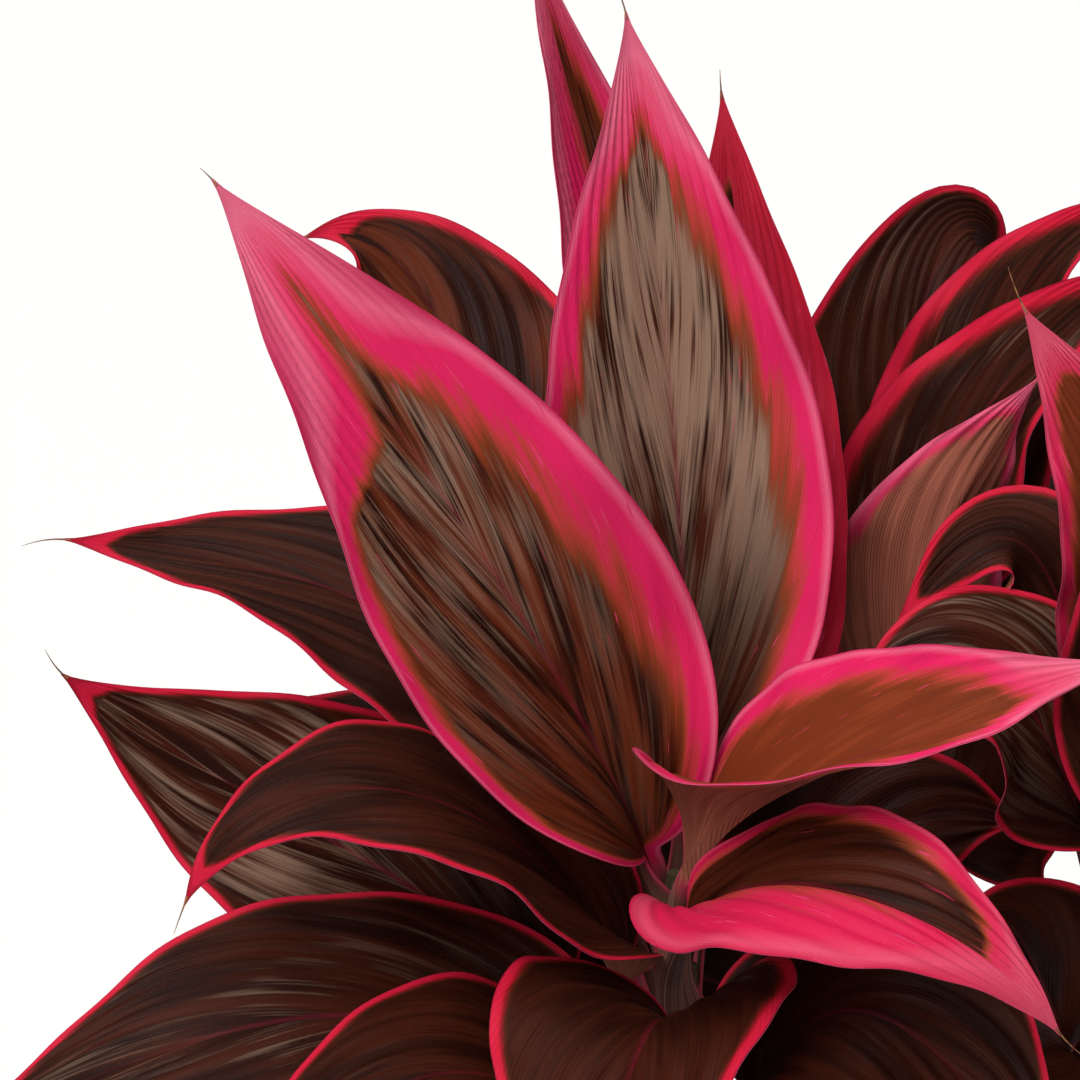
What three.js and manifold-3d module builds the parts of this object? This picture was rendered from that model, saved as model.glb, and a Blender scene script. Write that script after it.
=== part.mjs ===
// A potted ti plant: four leafy canes of pink-edged leaves, standing in the soil of a plain round pot.
// Millimetres, +Z up, the origin at the middle of the pot's underside. The plant is seen from -Y.

import * as THREE from "three";
import { mergeVertices } from "three/addons/utils/BufferGeometryUtils.js";
import Module from "manifold-3d";

const wasm = await Module();
wasm.setup();

// Driving dimensions.
const GAP = 0.3;
const POT = {
  height: 185, footRadius: 78, rimRadius: 108, wall: 3, floor: 4,
  bandHeight: 20, bandStep: 4, sides: 40, drainRadius: 5, drainCount: 8, drainRing: 62,
};
const SOIL = { top: 160, bump: 2.2, rings: [90, 66, 42, 18] };
const CANE = { seat: 70, radius: 8.5, topRadius: 6, scarPitch: 72, scarDepth: 0.8, sides: 9 };
const PETIOLE = { halfWidth: 5, thickness: 3.2, fold: 32, edge: 0.6 };
const BLADE = { thickness: 1, baseFold: 52, foldFade: 0.16, along: 9, across: 2 };
const WAVE = { height: 2.4, count: 2.3 };

// Where each cane leaves the soil, where it ends, and how far it bows sideways between the two.
const CANES = {
  main: { foot: [-34, -18], top: [-66, -34, 500], bow: [-5, 3] },
  right: { foot: [38, -12], top: [104, -20, 512], bow: [7, -3] },
  back: { foot: [8, 36], top: [24, 62, 508], bow: [4, 6] },
  front: { foot: [-22, -46], top: [-60, -76, 408], bow: [-4, -5] },
};

// Each leaf is named after its cane and grows from a height on it. rise and lean steer its midrib towards its
// tip, and face is where its upper side looks. fold is how far its left and right half rise from the midrib, in
// degrees, and cup how far they curl on from there. wrap, where a leaf's base is rolled, is how steeply its halves
// stand there and the shares of the blade over which the left and the right one lie down. A young leaf is the
// redder kind near the end of a cane.
const LEAVES = {
  main_01: {
    foot: 462, rise: [-84, -78, 554], lean: [-159, -88, 668], tip: [-224, -45, 742],
    width: 108, petiole: 50, face: [0.3, -0.9, 0.35], fold: [10, 12], cup: 12, young: true,
  },
  main_02: {
    foot: 474, rise: [-56, -6, 546], lean: [-69, 0, 690], tip: [-84, 34, 787],
    width: 112, petiole: 44, face: [0.05, -0.95, 0.3], fold: [14, 14], cup: 14, young: true,
  },
  main_03: {
    foot: 436, rise: [-80, -84, 550], lean: [-24, -138, 556], tip: [74, -148, 605],
    width: 94, petiole: 80, face: [0.2, -0.22, 0.92], fold: [34, 8], cup: 8,
    wrap: [80, 0.24, 0.26], young: true,
  },
  main_04: {
    foot: 416, rise: [-98, -134, 554], lean: [10, -182, 552], tip: [52, -186, 491],
    width: 76, petiole: 106, face: [0.05, -0.6, 0.82], fold: [6, 12], cup: -8,
    wrap: [66, 0.1, 0.14], young: true,
  },
  main_05: {
    foot: 376, rise: [-92, -88, 566], lean: [-206, -108, 574], tip: [-232, -122, 512],
    width: 96, petiole: 94, face: [0, -0.3, 0.95], fold: [8, 8], cup: -12,
  },
  main_06: {
    foot: 398, rise: [-114, -6, 604], lean: [-194, 24, 584], tip: [-286, 30, 597],
    width: 100, petiole: 104, face: [0, -0.4, 0.92], fold: [10, 10], cup: 2,
  },
  main_07: {
    foot: 440, rise: [-138, 74, 650], lean: [-154, 108, 706], tip: [-202, 92, 695],
    width: 94, petiole: 182, face: [-0.1, -0.5, 0.85], fold: [10, 10], cup: 4,
  },
  main_08: {
    foot: 426, rise: [-36, 94, 590], lean: [-96, 99, 696], tip: [-118, 90, 810],
    width: 68, petiole: 118, face: [0.4, -0.85, 0.2], fold: [20, 20], cup: 8, young: true,
  },
  main_09: {
    foot: 458, rise: [-38, 26, 560], lean: [-36, 42, 656], tip: [-49, 66, 754],
    width: 86, petiole: 50, face: [-0.2, -0.95, 0.25], fold: [6, 12], cup: 4, young: true,
  },
  main_10: {
    foot: 368, rise: [-108, -50, 492], lean: [-204, -10, 492], tip: [-282, -22, 562],
    width: 110, petiole: 92, face: [0, -0.7, 0.7], fold: [10, 10], cup: -4,
  },
  main_11: {
    foot: 352, rise: [-92, 40, 540], lean: [-170, 76, 512], tip: [-235, 66, 520],
    width: 90, petiole: 76, face: [0, -0.2, 0.95], fold: [10, 10], cup: 0,
  },
  right_01: {
    foot: 466, rise: [116, -84, 624], lean: [68, -96, 664], tip: [45, -80, 706],
    width: 74, petiole: 74, face: [-0.2, -0.9, 0.4], fold: [16, 16], cup: 8, young: true,
  },
  right_02: {
    foot: 454, rise: [112, -104, 600], lean: [90, -124, 640], tip: [108, -112, 701],
    width: 88, petiole: 66, face: [-0.3, -0.9, 0.3], fold: [16, 16], cup: 6,
  },
  right_03: {
    foot: 432, rise: [72, -12, 640], lean: [52, -16, 630], tip: [10, -24, 580],
    width: 70, petiole: 64, face: [-0.3, -0.6, 0.7], fold: [10, 10], cup: 0,
  },
  right_04: {
    foot: 422, rise: [66, -62, 600], lean: [30, -68, 590], tip: [-14, -60, 556],
    width: 86, petiole: 92, face: [0, -0.6, 0.8], fold: [10, 10], cup: 0,
  },
  right_05: {
    foot: 376, rise: [54, -84, 490], lean: [46, -94, 508], tip: [28, -92, 486],
    width: 78, petiole: 66, face: [-0.2, -0.6, 0.8], fold: [10, 10], cup: 0,
  },
  right_06: {
    foot: 340, rise: [56, -28, 470], lean: [48, -38, 476], tip: [20, -46, 450],
    width: 80, petiole: 56, face: [0, -0.4, 0.9], fold: [10, 10], cup: 0,
  },
  right_07: {
    foot: 450, rise: [138, -2, 556], lean: [222, 14, 602], tip: [300, 24, 590],
    width: 100, petiole: 60, face: [-0.1, -0.2, 0.95], fold: [12, 12], cup: 4,
  },
  right_08: {
    foot: 428, rise: [140, -52, 526], lean: [224, -86, 556], tip: [300, -104, 500],
    width: 104, petiole: 60, face: [0, -0.2, 0.95], fold: [10, 10], cup: -8,
  },
  right_09: {
    foot: 478, rise: [98, 54, 580], lean: [182, 90, 664], tip: [236, 120, 640],
    width: 96, petiole: 66, face: [-0.4, -0.3, 0.85], fold: [12, 12], cup: 8,
  },
  right_10: {
    foot: 488, rise: [136, 8, 600], lean: [156, 12, 700], tip: [146, 24, 772],
    width: 84, petiole: 80, face: [-0.4, -0.85, 0.3], fold: [16, 16], cup: 8,
  },
  right_11: {
    foot: 410, rise: [118, -98, 516], lean: [162, -164, 536], tip: [182, -218, 466],
    width: 94, petiole: 60, face: [-0.1, 0.3, 0.95], fold: [12, 12], cup: -8,
  },
  right_12: {
    foot: 400, rise: [134, 22, 510], lean: [212, 96, 530], tip: [258, 130, 450],
    width: 98, petiole: 60, face: [0, 0, 1], fold: [10, 10], cup: -8,
  },
  back_01: {
    foot: 440, rise: [6, 138, 626], lean: [42, 150, 736], tip: [68, 182, 664],
    width: 102, petiole: 94, face: [0.1, -0.9, 0.4], fold: [6, 6], cup: 4,
  },
  back_02: {
    foot: 480, rise: [48, 98, 614], lean: [42, 105, 680], tip: [108, 90, 712],
    width: 84, petiole: 66, face: [-0.35, -0.6, 0.7], fold: [10, 10], cup: 4,
  },
  back_03: {
    foot: 444, rise: [4, 60, 606], lean: [48, 68, 648], tip: [104, 50, 696],
    width: 82, petiole: 92, face: [-0.35, -0.6, 0.7], fold: [10, 10], cup: 4,
  },
  back_04: {
    foot: 424, rise: [54, 30, 506], lean: [80, 18, 536], tip: [104, 20, 520],
    width: 88, petiole: 60, face: [-0.2, -0.6, 0.8], fold: [10, 10], cup: 0,
  },
  back_05: {
    foot: 430, rise: [38, 122, 556], lean: [54, 210, 622], tip: [62, 290, 560],
    width: 100, petiole: 66, face: [0, -0.3, 0.95], fold: [10, 10], cup: -6,
  },
  back_06: {
    foot: 406, rise: [-26, 104, 530], lean: [-30, 196, 586], tip: [-62, 270, 530],
    width: 100, petiole: 80, face: [0, -0.2, 0.95], fold: [10, 10], cup: -6,
  },
  back_07: {
    foot: 462, rise: [-40, 72, 540], lean: [-74, 140, 620], tip: [-124, 200, 600],
    width: 96, petiole: 90, face: [0.3, -0.4, 0.85], fold: [12, 12], cup: 4,
  },
  back_08: {
    foot: 464, rise: [66, 88, 560], lean: [106, 164, 640], tip: [152, 222, 600],
    width: 98, petiole: 106, face: [-0.2, -0.3, 0.9], fold: [12, 12], cup: 0,
  },
  back_09: {
    foot: 386, rise: [-30, 84, 486], lean: [-100, 156, 520], tip: [-168, 196, 460],
    width: 98, petiole: 56, face: [0, 0, 1], fold: [10, 10], cup: -8,
  },
  back_10: {
    foot: 400, rise: [54, 112, 490], lean: [110, 200, 510], tip: [140, 262, 430],
    width: 98, petiole: 56, face: [0, 0, 1], fold: [10, 10], cup: -8,
  },
  front_01: {
    foot: 346, rise: [-126, -70, 492], lean: [-200, -122, 484], tip: [-314, -124, 428],
    width: 106, petiole: 80, face: [0, -0.5, 0.85], fold: [10, 10], cup: -8,
  },
  front_02: {
    foot: 314, rise: [-106, -128, 496], lean: [-162, -154, 482], tip: [-214, -198, 426],
    width: 96, petiole: 80, face: [0, -0.4, 0.9], fold: [10, 10], cup: -10,
  },
  front_03: {
    foot: 366, rise: [-66, -86, 502], lean: [-80, -162, 502], tip: [-104, -208, 412],
    width: 104, petiole: 90, face: [-0.2, -0.6, 0.8], fold: [24, 18], cup: -4,
  },
  front_04: {
    foot: 344, rise: [-38, -104, 510], lean: [4, -140, 500], tip: [56, -170, 424],
    width: 106, petiole: 90, face: [0, -0.4, 0.9], fold: [10, 10], cup: -8,
  },
  front_05: {
    foot: 296, rise: [-24, -112, 420], lean: [-10, -172, 424], tip: [14, -220, 346],
    width: 92, petiole: 60, face: [0, 0.1, 1], fold: [10, 10], cup: -8,
  },
  front_06: {
    foot: 340, rise: [-100, -56, 398], lean: [-152, -4, 418], tip: [-198, 20, 370],
    width: 92, petiole: 60, face: [0, 0, 1], fold: [10, 10], cup: -8,
  },
  front_07: {
    foot: 304, rise: [-28, -56, 400], lean: [24, -34, 424], tip: [76, -26, 366],
    width: 86, petiole: 60, face: [0, 0, 1], fold: [10, 10], cup: -8,
  },
  back_11: {
    foot: 440, rise: [-8, 9, 574], lean: [46, -5, 642], tip: [60, -8, 666],
    width: 70, petiole: 90, face: [0, 0.35, 0.93], fold: [8, 46], cup: 0, young: true,
  },
  main_12: {
    foot: 392, rise: [-34, -8, 480], lean: [14, -2, 520], tip: [60, 6, 496],
    width: 84, petiole: 70, face: [0, -0.8, 0.6], fold: [10, 10], cup: 0,
  },
  right_13: {
    foot: 366, rise: [104, -78, 426], lean: [88, -130, 426], tip: [62, -184, 370],
    width: 94, petiole: 60, face: [0, -0.3, 0.95], fold: [10, 10], cup: -6,
  },
  back_12: {
    foot: 366, rise: [-34, 28, 432], lean: [-88, 50, 446], tip: [-150, 82, 404],
    width: 96, petiole: 60, face: [0, -0.4, 0.9], fold: [10, 10], cup: 0,
  },
};

const COLOURS = { pot: 0x3a3b3d, soil: 0x3b2a20, cane: 0x7d6650, young: 0x8a2136, old: 0x3c1a17 };

const radians = THREE.MathUtils.degToRad;
const caneOf = (leafName) => CANES[leafName.split("_")[0]];
const material = (color, roughness) => new THREE.MeshStandardMaterial({ color, roughness, metalness: 0 });

// A closed geometry as a solid, and a solid as a geometry.
function solidOf(geometry) {
  const bare = new THREE.BufferGeometry();
  bare.setAttribute("position", geometry.getAttribute("position"));
  if (geometry.index) bare.setIndex(geometry.index);
  const merged = mergeVertices(bare, 1e-3);
  return new wasm.Manifold(new wasm.Mesh({
    numProp: 3,
    vertProperties: new Float32Array(merged.getAttribute("position").array),
    triVerts: new Uint32Array(merged.index.array),
  }));
}

function geometryOf(solid) {
  const mesh = solid.getMesh();
  const geometry = new THREE.BufferGeometry();
  geometry.setAttribute("position", new THREE.BufferAttribute(new Float32Array(mesh.vertProperties), 3));
  geometry.setIndex(new THREE.BufferAttribute(new Uint32Array(mesh.triVerts), 1));
  geometry.computeVertexNormals();
  return geometry;
}

// A profile of [radius, height] points turned about +Z.
function turned(profile, sides) {
  const points = profile.map(([r, z]) => new THREE.Vector2(r, z));
  return new THREE.LatheGeometry(points, sides).rotateX(Math.PI / 2);
}

// The pot: a tapered wall with a plain band at the rim, a flat foot, and drain holes round its floor.
const outerRadius = (z) => THREE.MathUtils.lerp(POT.footRadius, POT.rimRadius - POT.bandStep, z / POT.height);
const innerRadius = (z) => outerRadius(z) - POT.wall;

function potSolid() {
  const band = POT.height - POT.bandHeight;
  const wall = [
    [0, 0], [POT.footRadius - 3, 0], [outerRadius(3), 3], [outerRadius(band), band], [POT.rimRadius - 1, band + 2],
    [POT.rimRadius, POT.height - 2], [POT.rimRadius - 2, POT.height], [innerRadius(POT.height) + 1, POT.height],
    [innerRadius(POT.height - 3), POT.height - 3], [innerRadius(POT.floor), POT.floor], [0, POT.floor],
  ];
  let pot = solidOf(turned(wall, POT.sides));
  for (let i = 0; i < POT.drainCount; i++) {
    const angle = ((i + 0.5) / POT.drainCount) * 2 * Math.PI;
    const drill = new THREE.CylinderGeometry(POT.drainRadius, POT.drainRadius, 4 * POT.floor, 12);
    drill.rotateX(Math.PI / 2).translate(POT.drainRing * Math.cos(angle), POT.drainRing * Math.sin(angle), 0);
    pot = pot.subtract(solidOf(drill));
  }
  return pot;
}

// A cane's axis at a height, and its body with a ridge at each old leaf scar.
function caneAxis(cane, z) {
  const share = (z - CANE.seat) / (cane.top[2] - CANE.seat);
  const bow = Math.sin(Math.PI * share);
  return [0, 1].map((i) => THREE.MathUtils.lerp(cane.foot[i], cane.top[i], share) + cane.bow[i] * bow);
}

function caneSolid(cane, margin) {
  const top = cane.top[2];
  const share = (z) => (z - CANE.seat) / (top - CANE.seat);
  const radius = (z) => THREE.MathUtils.lerp(CANE.radius, CANE.topRadius, share(z)) + margin;
  const profile = [[0, CANE.seat - margin], [radius(CANE.seat), CANE.seat - margin]];
  const scars = Math.floor((top - CANE.seat) / CANE.scarPitch);
  for (let i = 1; i < scars; i++) {
    const z = CANE.seat + i * CANE.scarPitch;
    profile.push([radius(z) - CANE.scarDepth, z - 2.5], [radius(z), z]);
  }
  profile.push([radius(top) - 1, top - 8], [2 + margin, top + margin], [0, top + margin]);
  const geometry = turned(profile, CANE.sides);
  const place = geometry.getAttribute("position");
  for (let i = 0; i < place.count; i++) {
    const [x, y] = caneAxis(cane, place.getZ(i));
    place.setXY(i, place.getX(i) + x, place.getY(i) + y);
  }
  return solidOf(geometry);
}

// The soil: it fills the pot to below the rim, with a bumpy top and a plain socket for each cane.
const soilHeight = (x, y) =>
  SOIL.top + SOIL.bump * (Math.sin(x / 17 + 1.3) * Math.cos(y / 14) + 0.6 * Math.sin((x + 2 * y) / 23));

function soilSolid() {
  const edge = SOIL.top - 3;
  const profile = [
    [0, POT.floor + GAP], [innerRadius(POT.floor) - 2 * GAP, POT.floor + GAP], [innerRadius(edge) - 2 * GAP, edge],
    ...SOIL.rings.map((r) => [r, SOIL.top]), [0, SOIL.top],
  ];
  const geometry = turned(profile, POT.sides);
  const place = geometry.getAttribute("position");
  for (let i = 0; i < place.count; i++)
    if (place.getZ(i) > edge + 1) place.setZ(i, soilHeight(place.getX(i), place.getY(i)));
  return Object.values(CANES).reduce((soil, cane) => soil.subtract(caneSolid(cane, GAP)), solidOf(geometry));
}

// The midrib of a leaf, its unit vectors at a share of its length, and the blade share reached there.
function midribOf(leaf, cane) {
  const foot = new THREE.Vector3(...caneAxis(cane, leaf.foot), leaf.foot);
  const [rise, lean, tip] = [leaf.rise, leaf.lean, leaf.tip].map((p) => new THREE.Vector3(...p));
  const curve = new THREE.CubicBezierCurve3(foot, rise, lean, tip);
  const inward = foot.clone().sub(rise).setZ(0).normalize().multiplyScalar(0.8).setZ(0.5);
  return { curve, inward, length: curve.getLength(), face: new THREE.Vector3(...leaf.face) };
}

function frameAt(midrib, share, neck) {
  const along = midrib.curve.getTangentAt(share);
  const turn = THREE.MathUtils.smoothstep(share, 0, 1.3 * neck);
  const up = midrib.inward.clone().lerp(midrib.face, turn);
  up.addScaledVector(along, -up.dot(along)).normalize();
  return { at: midrib.curve.getPointAt(share), up, right: along.clone().cross(up) };
}

// Half the width of a leaf of a given width: its petiole runs into an egg-shaped blade with a long point.
function halfWidth(width, blade) {
  const b = THREE.MathUtils.clamp(blade, 0, 1);
  const outline = 3.31 * Math.pow(b, 0.64) * Math.pow(1 - b, 1.22);
  return Math.hypot(PETIOLE.halfWidth * (1 - b) ** 2, (width / 2) * outline, PETIOLE.edge);
}

// One closed leaf: a grid of points over its upper side and the same grid pushed through to its lower side.
function leafSolid(leaf, cane, index) {
  const midrib = midribOf(leaf, cane);
  const neck = leaf.petiole / midrib.length;
  const shares = [0, neck / 2];
  for (let i = 0; i <= BLADE.along; i++) shares.push(neck + (1 - neck) * Math.pow(i / BLADE.along, 1.15));
  const columns = 2 * BLADE.across + 1;
  const [baseFold, ...fades] = leaf.wrap ?? [BLADE.baseFold, BLADE.foldFade, BLADE.foldFade];
  const upper = [];
  const lower = [];
  for (const share of shares) {
    const { at, up, right } = frameAt(midrib, Math.min(share, 1), neck);
    const blade = (share - neck) / (1 - neck);
    const reach = halfWidth(leaf.width, blade);
    for (let c = 0; c < columns; c++) {
      const side = Math.sign(c - BLADE.across);
      const across = Math.abs(c - BLADE.across) / BLADE.across;
      const half = side > 0 ? 1 : 0;
      const fade = Math.exp(-((Math.max(blade, 0) / fades[half]) ** 2));
      const base = blade < 0 ? PETIOLE.fold : baseFold;
      const fold = radians(THREE.MathUtils.lerp(leaf.fold[half], base, fade));
      const curl = radians(leaf.cup) * (1 - fade) || 1e-4;
      const lean = fold + curl * across;
      const out = (reach * (Math.sin(lean) - Math.sin(fold))) / curl;
      const rise = (reach * (Math.cos(fold) - Math.cos(lean))) / curl;
      const wave = WAVE.height * across ** 2 * Math.sin(Math.PI * Math.max(blade, 0))
        * Math.sin(2 * Math.PI * WAVE.count * blade + 1.7 * side + 2.4 * index);
      const normal = up.clone().multiplyScalar(side ? Math.cos(lean) : 1);
      normal.addScaledVector(right, -side * Math.sin(lean));
      const point = at.clone().addScaledVector(right, side * out).addScaledVector(up, rise);
      point.addScaledVector(normal, wave);
      const stalk = Math.exp(-Math.max(blade, 0) / 0.2) * (PETIOLE.thickness - BLADE.thickness);
      const thick = BLADE.thickness + stalk * (1 - 0.6 * across);
      upper.push(point);
      lower.push(point.clone().addScaledVector(normal, -thick));
    }
  }
  return solidOf(shellOf(upper, lower, columns));
}

// The closed surface between two grids of points that match.
function shellOf(upper, lower, columns) {
  const rows = upper.length / columns;
  const points = [...upper, ...lower];
  const faces = [];
  const quad = (a, b, c, d) => faces.push(a, b, c, a, c, d);
  const below = upper.length;
  for (let r = 0; r + 1 < rows; r++) {
    for (let c = 0; c + 1 < columns; c++) {
      const a = r * columns + c;
      const b = a + 1;
      const e = a + columns;
      const d = e + 1;
      quad(a, b, d, e);
      faces.push(below + a, below + d, below + b, below + a, below + e, below + d);
    }
    const [left, right] = [r * columns, r * columns + columns - 1];
    quad(left, left + columns, below + left + columns, below + left);
    quad(right, below + right, below + right + columns, right + columns);
  }
  for (let c = 0; c + 1 < columns; c++) {
    const end = (rows - 1) * columns + c;
    quad(c + 1, c, below + c, below + c + 1);
    quad(end, end + 1, below + end + 1, below + end);
  }
  const geometry = new THREE.BufferGeometry().setFromPoints(points);
  geometry.setIndex(faces);
  return geometry;
}

// The largest body of a solid, so that no scrap is left by a cut.
function mainBody(solid) {
  return solid.decompose().reduce((most, body) => (body.volume() > most.volume() ? body : most));
}

const plant = new THREE.Group();
plant.name = "potted_ti_plant";

function addMesh(name, solid, finish) {
  const mesh = new THREE.Mesh(geometryOf(solid), finish);
  mesh.name = name;
  plant.add(mesh);
}

addMesh("pot", potSolid(), material(COLOURS.pot, 0.55));
addMesh("soil", soilSolid(), material(COLOURS.soil, 0.95));
for (const [name, cane] of Object.entries(CANES)) {
  addMesh(`cane_${name}`, caneSolid(cane, 0), material(COLOURS.cane, 0.8));
}
Object.entries(LEAVES).forEach(([name, leaf], index) => {
  const cane = caneOf(name);
  const clear = mainBody(leafSolid(leaf, cane, index).subtract(caneSolid(cane, GAP)));
  addMesh(`leaf_${name}`, clear, material(leaf.young ? COLOURS.young : COLOURS.old, 0.45));
});

export default plant;
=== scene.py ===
import math
import random

import bmesh
import bpy
import numpy as np
from mathutils import Matrix, Vector, noise


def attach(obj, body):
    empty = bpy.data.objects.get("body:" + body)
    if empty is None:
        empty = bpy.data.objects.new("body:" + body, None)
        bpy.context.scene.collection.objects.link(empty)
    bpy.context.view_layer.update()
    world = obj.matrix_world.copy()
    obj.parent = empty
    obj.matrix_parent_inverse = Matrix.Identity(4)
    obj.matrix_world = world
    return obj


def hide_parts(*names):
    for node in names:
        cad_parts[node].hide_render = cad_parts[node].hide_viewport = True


bl_info = {
    "name": "Potted Ti Plant",
    "version": (1, 0, 0),
    "blender": (4, 5, 0),
    "location": "View3D > Sidebar > Ti Plant",
    "description": "Dresses the packed ti plant in leaves, bark, compost and a pot, in a pale studio",
    "category": "Add Mesh",
}

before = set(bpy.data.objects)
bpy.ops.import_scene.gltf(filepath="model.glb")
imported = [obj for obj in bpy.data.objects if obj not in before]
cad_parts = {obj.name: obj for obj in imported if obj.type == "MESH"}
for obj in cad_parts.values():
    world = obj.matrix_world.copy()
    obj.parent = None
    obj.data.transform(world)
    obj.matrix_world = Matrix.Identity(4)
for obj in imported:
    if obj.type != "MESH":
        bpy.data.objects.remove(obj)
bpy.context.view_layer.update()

# Sizes of the leaves and canes are in millimetres, as in the part's source. Meshes are made in metres.
MM = 0.001
BODY = "root"

# The height of the soil's top, the height where the canes are seated in it, and their radius there and at
# the top.
SOIL_TOP = 160
CANE_SEAT = 70
CANE_RADIUS = (8.5, 6.0)
# Each cane: where its middle stands at the seat and at its top, and how far it bows out halfway.
CANES = {
    "main": {"foot": (-34, -18), "top": (-66, -34, 500), "bow": (-5, 3)},
    "right": {"foot": (38, -12), "top": (104, -20, 512), "bow": (7, -3)},
    "back": {"foot": (8, 36), "top": (24, 62, 508), "bow": (4, 6)},
    "front": {"foot": (-22, -46), "top": (-60, -76, 408), "bow": (-4, -5)},
}

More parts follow.
